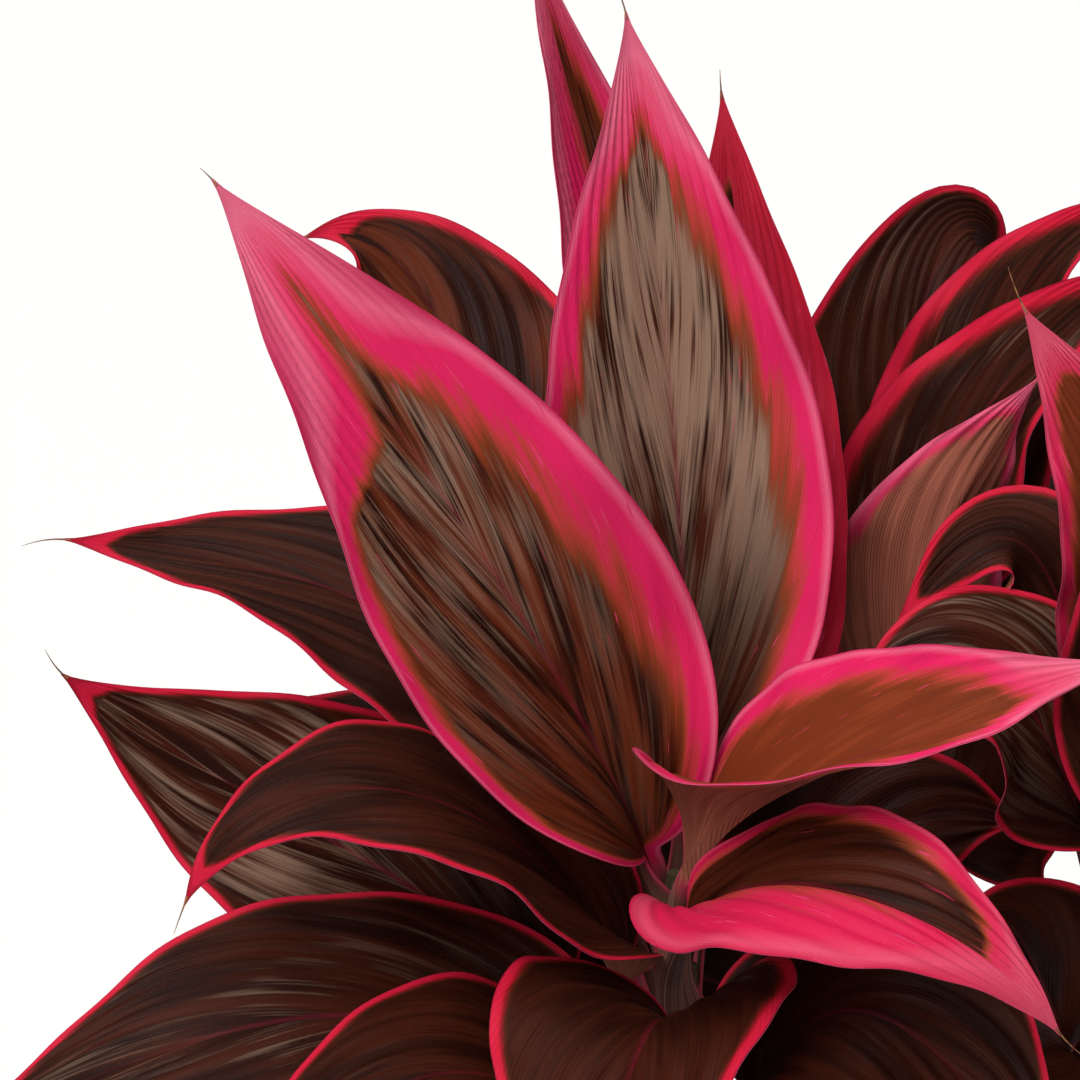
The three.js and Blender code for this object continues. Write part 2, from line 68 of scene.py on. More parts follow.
# Each leaf. First line: the height of its foot on its cane, the midrib's two steering points, and its tip.
# Second line: the blade's width, the petiole's length, the way its upper side looks, and in degrees how far
# the left and the right half fold up and how far both curl up towards the edge.
LEAVES = {
    "main_01": (462, (-84, -78, 554), (-159, -88, 668), (-224, -45, 742),
                108, 50, (0.3, -0.9, 0.35), (10, 12), 12),
    "main_02": (474, (-56, -6, 546), (-69, 0, 690), (-84, 34, 787),
                112, 44, (0.05, -0.95, 0.3), (14, 14), 14),
    "main_03": (436, (-80, -84, 550), (-24, -138, 556), (74, -148, 605),
                94, 80, (0.2, -0.22, 0.92), (34, 8), 8),
    "main_04": (416, (-98, -134, 554), (10, -182, 552), (52, -186, 491),
                76, 106, (0.05, -0.6, 0.82), (6, 12), -8),
    "main_05": (376, (-92, -88, 566), (-206, -108, 574), (-232, -122, 512),
                96, 94, (0, -0.3, 0.95), (8, 8), -12),
    "main_06": (398, (-114, -6, 604), (-194, 24, 584), (-286, 30, 597),
                100, 104, (0, -0.4, 0.92), (10, 10), 2),
    "main_07": (440, (-138, 74, 650), (-154, 108, 706), (-202, 92, 695),
                94, 182, (-0.1, -0.5, 0.85), (10, 10), 4),
    "main_08": (426, (-36, 94, 590), (-96, 99, 696), (-118, 90, 810),
                68, 118, (0.4, -0.85, 0.2), (20, 20), 8),
    "main_09": (458, (-38, 26, 560), (-36, 42, 656), (-49, 66, 754),
                86, 50, (-0.2, -0.95, 0.25), (6, 12), 4),
    "main_10": (368, (-108, -50, 492), (-204, -10, 492), (-282, -22, 562),
                110, 92, (0, -0.7, 0.7), (10, 10), -4),
    "main_11": (352, (-92, 40, 540), (-170, 76, 512), (-235, 66, 520),
                90, 76, (0, -0.2, 0.95), (10, 10), 0),
    "right_01": (466, (116, -84, 624), (68, -96, 664), (45, -80, 706),
                 74, 74, (-0.2, -0.9, 0.4), (16, 16), 8),
    "right_02": (454, (112, -104, 600), (90, -124, 640), (108, -112, 701),
                 88, 66, (-0.3, -0.9, 0.3), (16, 16), 6),
    "right_03": (432, (72, -12, 640), (52, -16, 630), (10, -24, 580),
                 70, 64, (-0.3, -0.6, 0.7), (10, 10), 0),
    "right_04": (422, (66, -62, 600), (30, -68, 590), (-14, -60, 556),
                 86, 92, (0, -0.6, 0.8), (10, 10), 0),
    "right_05": (376, (54, -84, 490), (46, -94, 508), (28, -92, 486),
                 78, 66, (-0.2, -0.6, 0.8), (10, 10), 0),
    "right_06": (340, (56, -28, 470), (48, -38, 476), (20, -46, 450),
                 80, 56, (0, -0.4, 0.9), (10, 10), 0),
    "right_07": (450, (138, -2, 556), (222, 14, 602), (300, 24, 590),
                 100, 60, (-0.1, -0.2, 0.95), (12, 12), 4),
    "right_08": (428, (140, -52, 526), (224, -86, 556), (300, -104, 500),
                 104, 60, (0, -0.2, 0.95), (10, 10), -8),
    "right_09": (478, (98, 54, 580), (182, 90, 664), (236, 120, 640),
                 96, 66, (-0.4, -0.3, 0.85), (12, 12), 8),
    "right_10": (488, (136, 8, 600), (156, 12, 700), (146, 24, 772),
                 84, 80, (-0.4, -0.85, 0.3), (16, 16), 8),
    "right_11": (410, (118, -98, 516), (162, -164, 536), (182, -218, 466),
                 94, 60, (-0.1, 0.3, 0.95), (12, 12), -8),
    "right_12": (400, (134, 22, 510), (212, 96, 530), (258, 130, 450),
                 98, 60, (0, 0, 1), (10, 10), -8),
    "back_01": (440, (6, 138, 626), (42, 150, 736), (68, 182, 664),
                102, 94, (0.1, -0.9, 0.4), (6, 6), 4),
    "back_02": (480, (48, 98, 614), (42, 105, 680), (108, 90, 712),
                84, 66, (-0.35, -0.6, 0.7), (10, 10), 4),
    "back_03": (444, (4, 60, 606), (48, 68, 648), (104, 50, 696),
                82, 92, (-0.35, -0.6, 0.7), (10, 10), 4),
    "back_04": (424, (54, 30, 506), (80, 18, 536), (104, 20, 520),
                88, 60, (-0.2, -0.6, 0.8), (10, 10), 0),
    "back_05": (430, (38, 122, 556), (54, 210, 622), (62, 290, 560),
                100, 66, (0, -0.3, 0.95), (10, 10), -6),
    "back_06": (406, (-26, 104, 530), (-30, 196, 586), (-62, 270, 530),
                100, 80, (0, -0.2, 0.95), (10, 10), -6),
    "back_07": (462, (-40, 72, 540), (-74, 140, 620), (-124, 200, 600),
                96, 90, (0.3, -0.4, 0.85), (12, 12), 4),
    "back_08": (464, (66, 88, 560), (106, 164, 640), (152, 222, 600),
                98, 106, (-0.2, -0.3, 0.9), (12, 12), 0),
    "back_09": (386, (-30, 84, 486), (-100, 156, 520), (-168, 196, 460),
                98, 56, (0, 0, 1), (10, 10), -8),
    "back_10": (400, (54, 112, 490), (110, 200, 510), (140, 262, 430),
                98, 56, (0, 0, 1), (10, 10), -8),
    "front_01": (346, (-126, -70, 492), (-200, -122, 484), (-314, -124, 428),
                 106, 80, (0, -0.5, 0.85), (10, 10), -8),
    "front_02": (314, (-106, -128, 496), (-162, -154, 482), (-214, -198, 426),
                 96, 80, (0, -0.4, 0.9), (10, 10), -10),
    "front_03": (366, (-66, -86, 502), (-80, -162, 502), (-104, -208, 412),
                 104, 90, (-0.2, -0.6, 0.8), (24, 18), -4),
    "front_04": (344, (-38, -104, 510), (4, -140, 500), (56, -170, 424),
                 106, 90, (0, -0.4, 0.9), (10, 10), -8),
    "front_05": (296, (-24, -112, 420), (-10, -172, 424), (14, -220, 346),
                 92, 60, (0, 0.1, 1), (10, 10), -8),
    "front_06": (340, (-100, -56, 398), (-152, -4, 418), (-198, 20, 370),
                 92, 60, (0, 0, 1), (10, 10), -8),
    "front_07": (304, (-28, -56, 400), (24, -34, 424), (76, -26, 366),
                 86, 60, (0, 0, 1), (10, 10), -8),
    "back_11": (440, (-8, 9, 574), (46, -5, 642), (60, -8, 666),
                70, 90, (0, 0.35, 0.93), (8, 46), 0),
    "main_12": (392, (-34, -8, 480), (14, -2, 520), (60, 6, 496),
                84, 70, (0, -0.8, 0.6), (10, 10), 0),
    "right_13": (366, (104, -78, 426), (88, -130, 426), (62, -184, 370),
                 94, 60, (0, -0.3, 0.95), (10, 10), -6),
    "back_12": (366, (-34, 28, 432), (-88, 50, 446), (-150, 82, 404),
                96, 60, (0, -0.4, 0.9), (10, 10), 0),
}

# The usual look of a leaf: the width of its pink edge on the left and right half in millimetres and that
# width's share left at the base, the share of the blade past which each half is all pink, how far a brown
# spine runs into the pink, how much rust the middle has (on the leaves with the most rust, a painted glow of
# light shining through the blade), how grey it is (grey streaks partly of its own and partly painted sheen),
# and how red the pink. Below are the leaves that differ from it.
USUAL_LOOK = {
    "rim": (2.3, 2.3), "base": 0.8, "tip": (1.0, 1.0), "spine": 0.0, "rust_and_glow": 0.05, "grey": 0.15, "red": 0.0,
}
LOOKS = {
    "main_01": {"rim": (5, 15), "base": 0.4, "tip": (0.66, 0.74), "spine": 1.3, "rust_and_glow": 0.45, "grey": 1.05},
    "main_02": {"rim": (8, 11), "base": 0.7, "tip": (0.88, 0.88), "spine": 1.2, "rust_and_glow": 0.12, "grey": 1.4},
    "main_03": {"rim": (9, 7), "base": 1.0, "tip": (0.85, 0.85), "spine": 0.8, "rust_and_glow": 0.95, "grey": 0.1},
    "main_04": {"rim": (5, 26), "base": 0.9, "tip": (0.86, 0.75), "rust_and_glow": 0.15, "grey": 0.0, "red": 0.45},
    "main_08": {"rim": (24, 6), "base": 1.0, "tip": (1.1, 1.0), "spine": 0.5, "rust_and_glow": 0.40, "grey": 0.4},
    "main_09": {"rim": (5, 16), "base": 0.8, "tip": (0.95, 0.6), "rust_and_glow": 0.1, "grey": 0.1, "red": 0.9},
    "right_01": {"rim": (4, 4), "base": 0.8, "tip": (0.93, 0.93), "rust_and_glow": 0.95, "grey": 0.1, "red": 0.4},
    "back_11": {"rim": (7, 7), "tip": (0.95, 0.95), "rust_and_glow": 0.50, "grey": 0.2},
    "main_07": {"rim": (2.5, 4), "tip": (0.97, 0.94), "rust_and_glow": 0.40, "grey": 0.3},
    "main_06": {"grey": 0.1},
    "main_10": {"grey": 0.8},
    "front_01": {"grey": 0.5},
    "front_03": {"rim": (5, 3.5), "grey": 0.1},
    "right_03": {"grey": 0.1},
    "right_04": {"grey": 0.7},
    "back_01": {"rim": (2.5, 2.5), "grey": 0.3},
    "back_02": {"rim": (6, 3), "grey": 0.3},
    "back_03": {"rim": (6, 3), "grey": 0.6},
}
# The young leaves, whose edge is pink and broad. The others have a thin crimson edge.
YOUNG = ("main_01", "main_02", "main_03", "main_04", "main_08", "main_09", "right_01", "back_11")
# How steeply a blade's halves stand at its base, in degrees, and the share of the blade by which the left
# and the right half have mostly lain down.
USUAL_WRAP = {"stands": 52.0, "lies_down": (0.16, 0.16)}
WRAPS = {
    "main_03": {"stands": 80.0, "lies_down": (0.24, 0.26)},
    "main_04": {"stands": 66.0, "lies_down": (0.1, 0.14)},
}
# The leaves that show little or not at all from the photograph's side, which have fewer cells.
HIDDEN = (
    "main_12", "right_07", "right_08", "right_09", "right_10", "right_11", "right_12", "right_13",
    "back_04", "back_05", "back_06", "back_07", "back_08", "back_09", "back_10", "back_12", "front_05",
    "front_06", "front_07",
)


class TI_leaf_sizes(bpy.types.PropertyGroup):
    """Sizes and colours of the leaves."""

    thickness: bpy.props.FloatProperty(
        name="Blade Thickness", description="Thickness of a blade away from its midrib",
        default=0.0008, min=0.0003, max=0.002, precision=4, unit="LENGTH")
    pleat_pitch: bpy.props.FloatProperty(
        name="Pleat Pitch", description="Distance along the midrib from one broad pleat to the next",
        default=0.030, min=0.01, max=0.08, precision=4, unit="LENGTH")
    pleat_depth: bpy.props.FloatProperty(
        name="Pleat Depth", description="How far a pleat stands proud of the blade",
        default=0.0005, min=0.0, max=0.002, precision=4, unit="LENGTH")
    vein_pitch: bpy.props.FloatProperty(
        name="Vein Pitch", description="Distance along the midrib from one fine vein to the next",
        default=0.004, min=0.001, max=0.01, precision=4, unit="LENGTH")
    cells: bpy.props.IntVectorProperty(
        name="Cells", description="Cells along and across a leaf that shows in the photograph",
        size=2, default=(84, 64), min=8)
    hidden_cells: bpy.props.IntVectorProperty(
        name="Hidden Cells", description="Cells along and across a leaf that doesn't",
        size=2, default=(60, 40), min=8)
    pink: bpy.props.FloatVectorProperty(
        name="Pink", description="Colour of a young leaf's edge", subtype="COLOR", size=3,
        default=(0.76, 0.018, 0.118), min=0, max=1)
    crimson: bpy.props.FloatVectorProperty(
        name="Crimson", description="Colour of an old leaf's edge", subtype="COLOR", size=3,
        default=(0.62, 0.012, 0.038), min=0, max=1)
    # Besides the band between the edge and the middle, this colour fills the middle of the leaves with the
    # most rust as a painted glow of light shining through the blade.
    rust_and_glow: bpy.props.FloatVectorProperty(
        name="Rust_And_Glow", description="Colour between the edge and the middle", subtype="COLOR", size=3,
        default=(0.250, 0.045, 0.014), min=0, max=1)
    dark: bpy.props.FloatVectorProperty(
        name="Middle", description="Colour of the dark middle", subtype="COLOR", size=3,
        default=(0.034, 0.0068, 0.0034), min=0, max=1)
    # The grey-brown streaks are partly the leaf's own colour and partly painted sheen standing in for the
    # satin highlights.
    grey: bpy.props.FloatVectorProperty(
        name="Painted_Sheen", description="Colour of the grey-brown streaks", subtype="COLOR", size=3,
        default=(0.300, 0.185, 0.130), min=0, max=1)
    under: bpy.props.FloatVectorProperty(
        name="Underside", description="Colour of the underside", subtype="COLOR", size=3,
        default=(0.380, 0.120, 0.078), min=0, max=1)
    stalk: bpy.props.FloatVectorProperty(
        name="Petiole", description="Colour of the petioles", subtype="COLOR", size=3,
        default=(0.420, 0.190, 0.150), min=0, max=1)


class TI_cane_sizes(bpy.types.PropertyGroup):
    """Sizes and colours of the canes."""

    scar_pitch: bpy.props.FloatProperty(
        name="Scar Pitch", description="Usual distance between two leaf scars",
        default=0.012, min=0.004, max=0.04, precision=4, unit="LENGTH")
    scar_height: bpy.props.FloatProperty(
        name="Scar Height", description="How far a leaf scar stands proud of the bark",
        default=0.0007, min=0.0, max=0.002, precision=4, unit="LENGTH")
    bark: bpy.props.FloatVectorProperty(
        name="Bark", description="Colour of the bark", subtype="COLOR", size=3,
        default=(0.190, 0.130, 0.085), min=0, max=1)
    crack: bpy.props.FloatVectorProperty(
        name="Cracks", description="Colour in the bark's cracks and under the scars", subtype="COLOR", size=3,
        default=(0.060, 0.038, 0.024), min=0, max=1)


class TI_pot_sizes(bpy.types.PropertyGroup):
    """Sizes and colours of the pot and what fills it."""

    foot_radius: bpy.props.FloatProperty(
        name="Foot Radius", description="Radius of the pot at its foot",
        default=0.078, min=0.02, max=0.3, unit="LENGTH")
    rim_radius: bpy.props.FloatProperty(
        name="Rim Radius", description="Radius of the band at the pot's rim",
        default=0.108, min=0.02, max=0.3, unit="LENGTH")
    height: bpy.props.FloatProperty(
        name="Height", description="Height of the pot", default=0.185, min=0.05, max=0.6, unit="LENGTH")
    wall: bpy.props.FloatProperty(
        name="Wall", description="Thickness of the pot's wall",
        default=0.003, min=0.001, max=0.01, unit="LENGTH")
    plastic: bpy.props.FloatVectorProperty(
        name="Plastic", description="Colour of the pot", subtype="COLOR", size=3,
        default=(0.045, 0.047, 0.050), min=0, max=1)
    peat: bpy.props.FloatVectorProperty(
        name="Peat", description="Colour of the compost", subtype="COLOR", size=3,
        default=(0.040, 0.024, 0.015), min=0, max=1)
    chip: bpy.props.FloatVectorProperty(
        name="Bark Chips", description="Colour of the bark chips", subtype="COLOR", size=3,
        default=(0.170, 0.085, 0.042), min=0, max=1)
    chips: bpy.props.IntProperty(
        name="Chips", description="Number of bark chips on the compost", default=420, min=0, max=2000)


class TI_stage_sizes(bpy.types.PropertyGroup):
    """The floor and the strengths of the lights."""

    floor_size: bpy.props.FloatProperty(
        name="Floor", description="Width of the floor", default=40.0, min=2.0, max=200.0, unit="LENGTH")
    key: bpy.props.FloatProperty(
        name="Key Light", description="Strength of the soft light from the upper left",
        default=2.0, min=0.0, max=20.0)
    fill: bpy.props.FloatProperty(
        name="Fill Light", description="Strength of the soft light from the right",
        default=0.2, min=0.0, max=20.0)
    front: bpy.props.FloatProperty(
        name="Front Light", description="Strength of the soft light from beside the camera",
        default=0.8, min=0.0, max=20.0)
    top: bpy.props.FloatProperty(
        name="Top Light", description="Strength of the soft light from above",
        default=1.2, min=0.0, max=20.0)
    sky: bpy.props.FloatProperty(
        name="Room Light", description="Strength of the even light of the room",
        default=0.06, min=0.0, max=5.0)


# Meshes.

MERGE_DISTANCE = 1e-5


def mesh_of(name, bm):
    """A bmesh made into a mesh, and freed."""
    mesh = bpy.data.meshes.new(name)
    bm.to_mesh(mesh)
    bm.free()
    return mesh


def linked(name, data):
    """A new object, linked to the scene."""
    made = bpy.data.objects.new(name, data)
    bpy.context.scene.collection.objects.link(made)
    return made


def placed(name, mesh, material, sharp):
    """A mesh as a smooth-shaded piece that rides on the plant. Edges over sharp degrees stay crisp."""
    mesh.materials.append(material)
    mesh.shade_smooth()
    mesh.set_sharp_from_angle(angle=math.radians(sharp))
    piece = linked(name, mesh)
    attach(piece, BODY)
    return piece


def turned_shape(profile, steps):
    """A profile of (radius, height) points turned about the vertical."""
    bm = bmesh.new()
    verts = [bm.verts.new((r, 0, z)) for r, z in profile]
    edges = [bm.edges.new(pair) for pair in zip(verts, verts[1:])]
    bmesh.ops.spin(
        bm, geom=verts + edges, cent=(0, 0, 0), axis=(0, 0, 1), angle=2 * math.pi, steps=steps,
        use_merge=True)
    bmesh.ops.remove_doubles(bm, verts=bm.verts[:], dist=MERGE_DISTANCE)
    bmesh.ops.recalc_face_normals(bm, faces=bm.faces[:])
    return bm


def smoothstep(x, low, high):
    """0 up to low and 1 from high on, with a soft rise between them."""
    t = np.clip((x - low) / (high - low), 0, 1)
    return t * t * (3 - 2 * t)


def between(x, rise, fall):
    """A soft rise to 1 over the first pair of places, and a soft fall over the second."""
    return smoothstep(x, *rise) * (1 - smoothstep(x, *fall))


def bell(x, width):
    """1 at 0, with a soft fall on both sides."""
    return np.exp(-(x / width) ** 2)


def mixed(a, b, t):
    """a where t is 0, b where it is 1."""
    return a + (b - a) * t


def unit(rows):
    """Directions made 1 long."""
    return rows / np.linalg.norm(rows, axis=-1, keepdims=True)


def positions(mesh):
    """A mesh's vertices, one row each."""
    co = np.empty(len(mesh.vertices) * 3)
    mesh.vertices.foreach_get("co", co)
    return co.reshape(-1, 3)


def move_to(mesh, places):
    """Moves a mesh's vertices to places in millimetres."""
    mesh.vertices.foreach_set("co", (places * MM).ravel())
    mesh.update()


def write_attribute(mesh, name, values):
    """Keeps a number for each vertex, or one for all of them, where the materials can read it."""
    layer = mesh.attributes.new(name, "FLOAT", "POINT")
    layer.data.foreach_set("value", np.full(len(mesh.vertices), values, np.float32))


# Leaves.

# The form that every leaf shares: lengths in millimetres, angles in degrees, and places along and across
# the blade as shares of its length and half width.
MIDRIB_STEPS = 201
# A petiole's upper side looks in at the cane and up, until it has turned to the blade's face this many
# petiole lengths from the foot.
FOOT = {"inward": 0.8, "up": 0.5, "turned": 1.3}
# The foot is wider, where it sheathes its cane.
SHEATH = {"half_width": 4.0, "reach": 14}
# The half widths of the petiole's end and of the tip, and the egg shape between them.
OUTLINE = {"petiole": 5, "tip": 0.35, "scale": 3.31, "base_power": 0.64, "tip_power": 1.22}
# The petiole's share of the cells, where it runs into the blade, and how its halves fold up and curl in.
STALK = {"cells": 0.2, "ends": (-0.12, 0.05), "fold": 14.0, "curl": 46.0}
# The power that draws the blade's cells together at its base, and the least curl in radians, which isn't 0
# because the arc's width is divided by it.
CELL_SPREAD = 1.1
LEAST_CURL = 1e-4
# Waves along the blade's edge. Each half and each leaf starts at its own point of the wave.
WAVE = {"height": 2.4, "count": 2.3, "half_start": 1.7, "leaf_start": 2.4}
RIPPLE = {"height": 0.7, "count": 6.3, "half_start": 2.1, "leaf_start": 1.3}
RIPPLE_ENDS = ((0.05, 0.3), (0.8, 0.97))
# How much nearer the tip a vein reaches the edge than it left the midrib, and how it bends on the way. The
# pleats follow the veins, at a pitch that drifts a little, and fade at the midrib, the edge and both ends.
VEIN = {"slant": 0.85, "curve": 0.85}
PLEAT_DRIFT = {"turn": 1.9, "length": 47, "half_start": 1.3}
PLEATS_ACROSS = ((0.03, 0.16), (0.86, 0.98))
PLEATS_ALONG = ((0.0, 0.12), (0.86, 0.98))
GROOVE = {"depth": 0.5, "width": 1.3, "fades": (0.5, 0.97)}
RIB = {"depth": 1.0, "width": 1.5, "fades": (0.3, 0.95)}
# The blade thins to its edge and tip. Near its base it is fleshy, most of all along the midrib.
THINNING = {"edge": 0.5, "tip": 0.45, "from": (0.8, 1.0)}
FLESH = {"depth": 2.2, "reach": 0.2, "edge": 0.75, "width": 5}
# Where the pink grows to its full width, how it takes in the whole tip, its least width, and the width and
# the ends of the brown spine that runs into it.
PINK_FULL = (0.0, 0.4)
PINK_TIP = {"width": 0.75, "before": 0.10, "after": 0.14}
LEAST_PINK = 0.5
SPINE_WIDTH = 6
SPINE_ENDS = ((0.2, 0.5), (0.8, 0.98))
# The most that the distance from the edge is kept as, and the step from one leaf's seed to the next.
EDGE_LIMIT = 8
SEED_STEP = 1.37
# The thread at a leaf's tip: its length, how far it starts inside the tip, how it curves, and its radius at
# both ends. Its bend is drawn for the leaf's up and right.
HAIR = {"seed": 31, "length": (9, 17), "overlap": 3, "curve": 0.45, "radius": (0.42, 0.10)}
HAIR_RINGS = 10
HAIR_SIDES = 6
HAIR_BEND = ((-0.5, 0.6), (-0.5, 0.5))


def cane_axis(cane, z):
    """The middle of a cane at a height."""
    share = (z - CANE_SEAT) / (cane["top"][2] - CANE_SEAT)
    bow = np.sin(math.pi * share)
    return [mixed(cane["foot"][i], cane["top"][i], share) + cane["bow"][i] * bow for i in (0, 1)]


class Leaf:
    """One leaf's row, with its midrib measured along its length."""

    def __init__(self, name):
        self.index = list(LEAVES).index(name)
        height, rise, lean, tip, self.width, petiole, face, self.fold, self.cup = LEAVES[name]
        self.wrap = WRAPS.get(name, USUAL_WRAP)
        self.look = {**USUAL_LOOK, **LOOKS.get(name, {})}
        cane = CANES[name.split("_")[0]]
        foot = np.array([*cane_axis(cane, height), height])
        self.points = np.array([foot, rise, lean, tip], float)
        self.face = np.array(face, float)
        inward = foot - self.points[1]
        inward[2] = 0
        self.inward = FOOT["inward"] * unit(inward) + np.array([0, 0, FOOT["up"]])
        self.steps = np.linspace(0, 1, MIDRIB_STEPS)
        reach = np.linalg.norm(np.diff(self.at(self.steps), axis=0), axis=1)
        self.reach = np.concatenate([[0], np.cumsum(reach)])
        self.length = self.reach[-1]
        self.neck = petiole / self.length
        self.blade = self.length - petiole

    def at(self, t):
        """Points of the midrib's curve."""
        t = np.asarray(t, float)[..., None]
        a, b, c, d = self.points
        return a * (1 - t) ** 3 + 3 * b * t * (1 - t) ** 2 + 3 * c * t * t * (1 - t) + d * t ** 3

    def frame(self, share):
        """The midrib's point, its direction, and the leaf's up and right at shares of its length."""
        t = np.interp(share * self.length, self.reach, self.steps)
        at = self.at(t)
        t = t[..., None]
        a, b, c, d = self.points
        along = unit(3 * ((b - a) * (1 - t) ** 2 + 2 * (c - b) * t * (1 - t) + (d - c) * t * t))
        turn = smoothstep(share, 0, FOOT["turned"] * self.neck)[..., None]
        up = mixed(self.inward, self.face, turn)
        up = unit(up - along * (up * along).sum(-1, keepdims=True))
        return at, along, up, np.cross(along, up)


def half_width(width, b):
    """Half the width of a leaf: its petiole runs into an egg-shaped blade with a long point."""
    b = np.clip(b, 0, 1)
    egg = width / 2 * OUTLINE["scale"] * b ** OUTLINE["base_power"] * (1 - b) ** OUTLINE["tip_power"]
    return np.hypot(OUTLINE["petiole"] * (1 - b) ** 2, np.hypot(egg, OUTLINE["tip"]))


def slab(along, across):
    """A closed flat sheet of cells: x runs along a leaf and y across it, and z is lower underneath."""
    bm = bmesh.new()
    bmesh.ops.create_grid(bm, x_segments=along, y_segments=across, size=1)
    bmesh.ops.solidify(bm, geom=bm.faces[:], thickness=1)
    bmesh.ops.recalc_face_normals(bm, faces=bm.faces[:])
    return bm


def by_half(side, values):
    """The first value on a leaf's left half and its midrib, the second on its right half."""
    return np.where(side > 0, values[1], values[0])


def swell(form, leaf, side, b):
    """A wave along the blade."""
    start = form["half_start"] * side + form["leaf_start"] * leaf.index
    return form["height"] * np.sin(2 * math.pi * form["count"] * b + start)


def leaf_piece(name, sizes, materials):
    """Bends a slab of cells to a leaf, with its pleats, its grooved midrib and its thin edge."""
    leaf = Leaf(name)
    look = leaf.look
    mesh = mesh_of("leaf_" + name, slab(*(sizes.hidden_cells if name in HIDDEN else sizes.cells)))
    flat = positions(mesh)
    low = (flat[:, 2] < flat[:, 2].mean()).astype(float)
    # x runs from 0 at the foot to 1 at the tip, and v from -1 at the left edge to 1 at the right one.
    x = np.round((flat[:, 0] + 1) / 2, 6)
    v = np.round(flat[:, 1], 6)
    side, across = np.sign(v), np.abs(v)

    # The first cells make the petiole, and the others the blade, where they are closer together at its base.
    past_stalk = np.clip((x - STALK["cells"]) / (1 - STALK["cells"]), 0, 1) ** CELL_SPREAD
    on_stalk = leaf.neck * x / STALK["cells"]
    share = np.where(x < STALK["cells"], on_stalk, leaf.neck + (1 - leaf.neck) * past_stalk)
    at, along, up, right = leaf.frame(share)
    b = (share - leaf.neck) / (1 - leaf.neck)
    on_blade = np.maximum(b, 0)
    stalk = 1 - smoothstep(b, *STALK["ends"])

    # Each half is an arc that leaves the midrib at the angle fold and reaches the edge at the angle lean.
    half = half_width(leaf.width, b) + SHEATH["half_width"] * bell(share * leaf.length, SHEATH["reach"])
    wrapped = bell(on_blade, by_half(side, leaf.wrap["lies_down"]))
    standing = mixed(leaf.wrap["stands"], STALK["fold"], stalk)
    fold = np.radians(mixed(by_half(side, leaf.fold), standing, wrapped))
    curl = np.radians(mixed(leaf.cup * (1 - wrapped), STALK["curl"], stalk))
    curl = np.where(np.abs(curl) < LEAST_CURL, LEAST_CURL, curl)
    lean = fold + curl * across
    out = half * (np.sin(lean) - np.sin(fold)) / curl
    rise = half * (np.cos(fold) - np.cos(lean)) / curl
    wave = across ** 2 * np.sin(math.pi * on_blade) * swell(WAVE, leaf, side, b)
    ripple = across ** 3 * between(b, *RIPPLE_ENDS) * swell(RIPPLE, leaf, side, b)

    # Veins leave the midrib at a narrow angle and run on to the tip, and the pleats follow them.
    vein = leaf.blade * (on_blade - VEIN["slant"] * across ** VEIN["curve"])
    pleated = between(across, *PLEATS_ACROSS) * between(b, *PLEATS_ALONG)
    pitch = sizes.pleat_pitch / MM
    drift = PLEAT_DRIFT["turn"] * np.sin(vein / PLEAT_DRIFT["length"] + leaf.index)
    drift = drift + PLEAT_DRIFT["half_start"] * side
    pleat = sizes.pleat_depth / MM * pleated * np.sin(2 * math.pi * vein / pitch + drift)
    normal = up * np.where(side == 0, 1, np.cos(lean))[:, None] - right * (side * np.sin(lean))[:, None]
    place = at + right * (side * out)[:, None] + up * rise[:, None]
    place += normal * (wave + pleat + ripple)[:, None]

    # The midrib is a groove on top and a rib underneath.
    from_rib = across * half
    groove = -GROOVE["depth"] * bell(from_rib, GROOVE["width"]) * (1 - smoothstep(b, *GROOVE["fades"]))
    rib = RIB["depth"] * bell(from_rib, RIB["width"]) * (1 - smoothstep(b, *RIB["fades"]))
    thinned = mixed(1.0, THINNING["tip"], smoothstep(b, *THINNING["from"]))
    thinned = thinned * (1 - THINNING["edge"] * across ** 6)
    fleshy = FLESH["depth"] * np.exp(-on_blade / FLESH["reach"]) * (1 - FLESH["edge"] * across ** 2)
    thick = sizes.thickness / MM * thinned + fleshy * mixed(bell(from_rib, FLESH["width"]), 1.0, stalk)
    move_to(mesh, place + normal * np.where(low > 0, -thick - rib, groove)[:, None])

    # The distance from the edge, as a share of the pink's width there: 1 is where the pink ends.
    tip = by_half(side, look["tip"])
    pink = by_half(side, look["rim"]) * mixed(look["base"], 1.0, smoothstep(b, *PINK_FULL))
    near_tip = smoothstep(b, tip - PINK_TIP["before"], tip + PINK_TIP["after"])
    pink = pink + leaf.width * PINK_TIP["width"] * near_tip
    edge = half * (1 - across) / np.maximum(pink, LEAST_PINK)
    edge = edge + look["spine"] * bell(from_rib, SPINE_WIDTH) * between(b, *SPINE_ENDS)
    for key, values in {
        "edge": np.clip(edge, 0, EDGE_LIMIT), "vein": vein, "reach": on_blade * leaf.blade,
        "across": across * side, "under": low, "stalk": stalk, "along": b, "seed": leaf.index * SEED_STEP,
        # The strength of the rust, on the leaves with the most rust partly a painted glow of light through
        # the blade, and of the grey streaks, partly painted sheen.
        "rusty": look["rust_and_glow"], "bloom": look["grey"], "redness": look["red"],
    }.items():
        write_attribute(mesh, key, values)
    slot = "leaf_young" if name in YOUNG else "leaf_mature"
    piece = placed("leaf_skin_" + name, mesh, materials[slot], sharp=60)
    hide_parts("leaf_" + name)
    return leaf


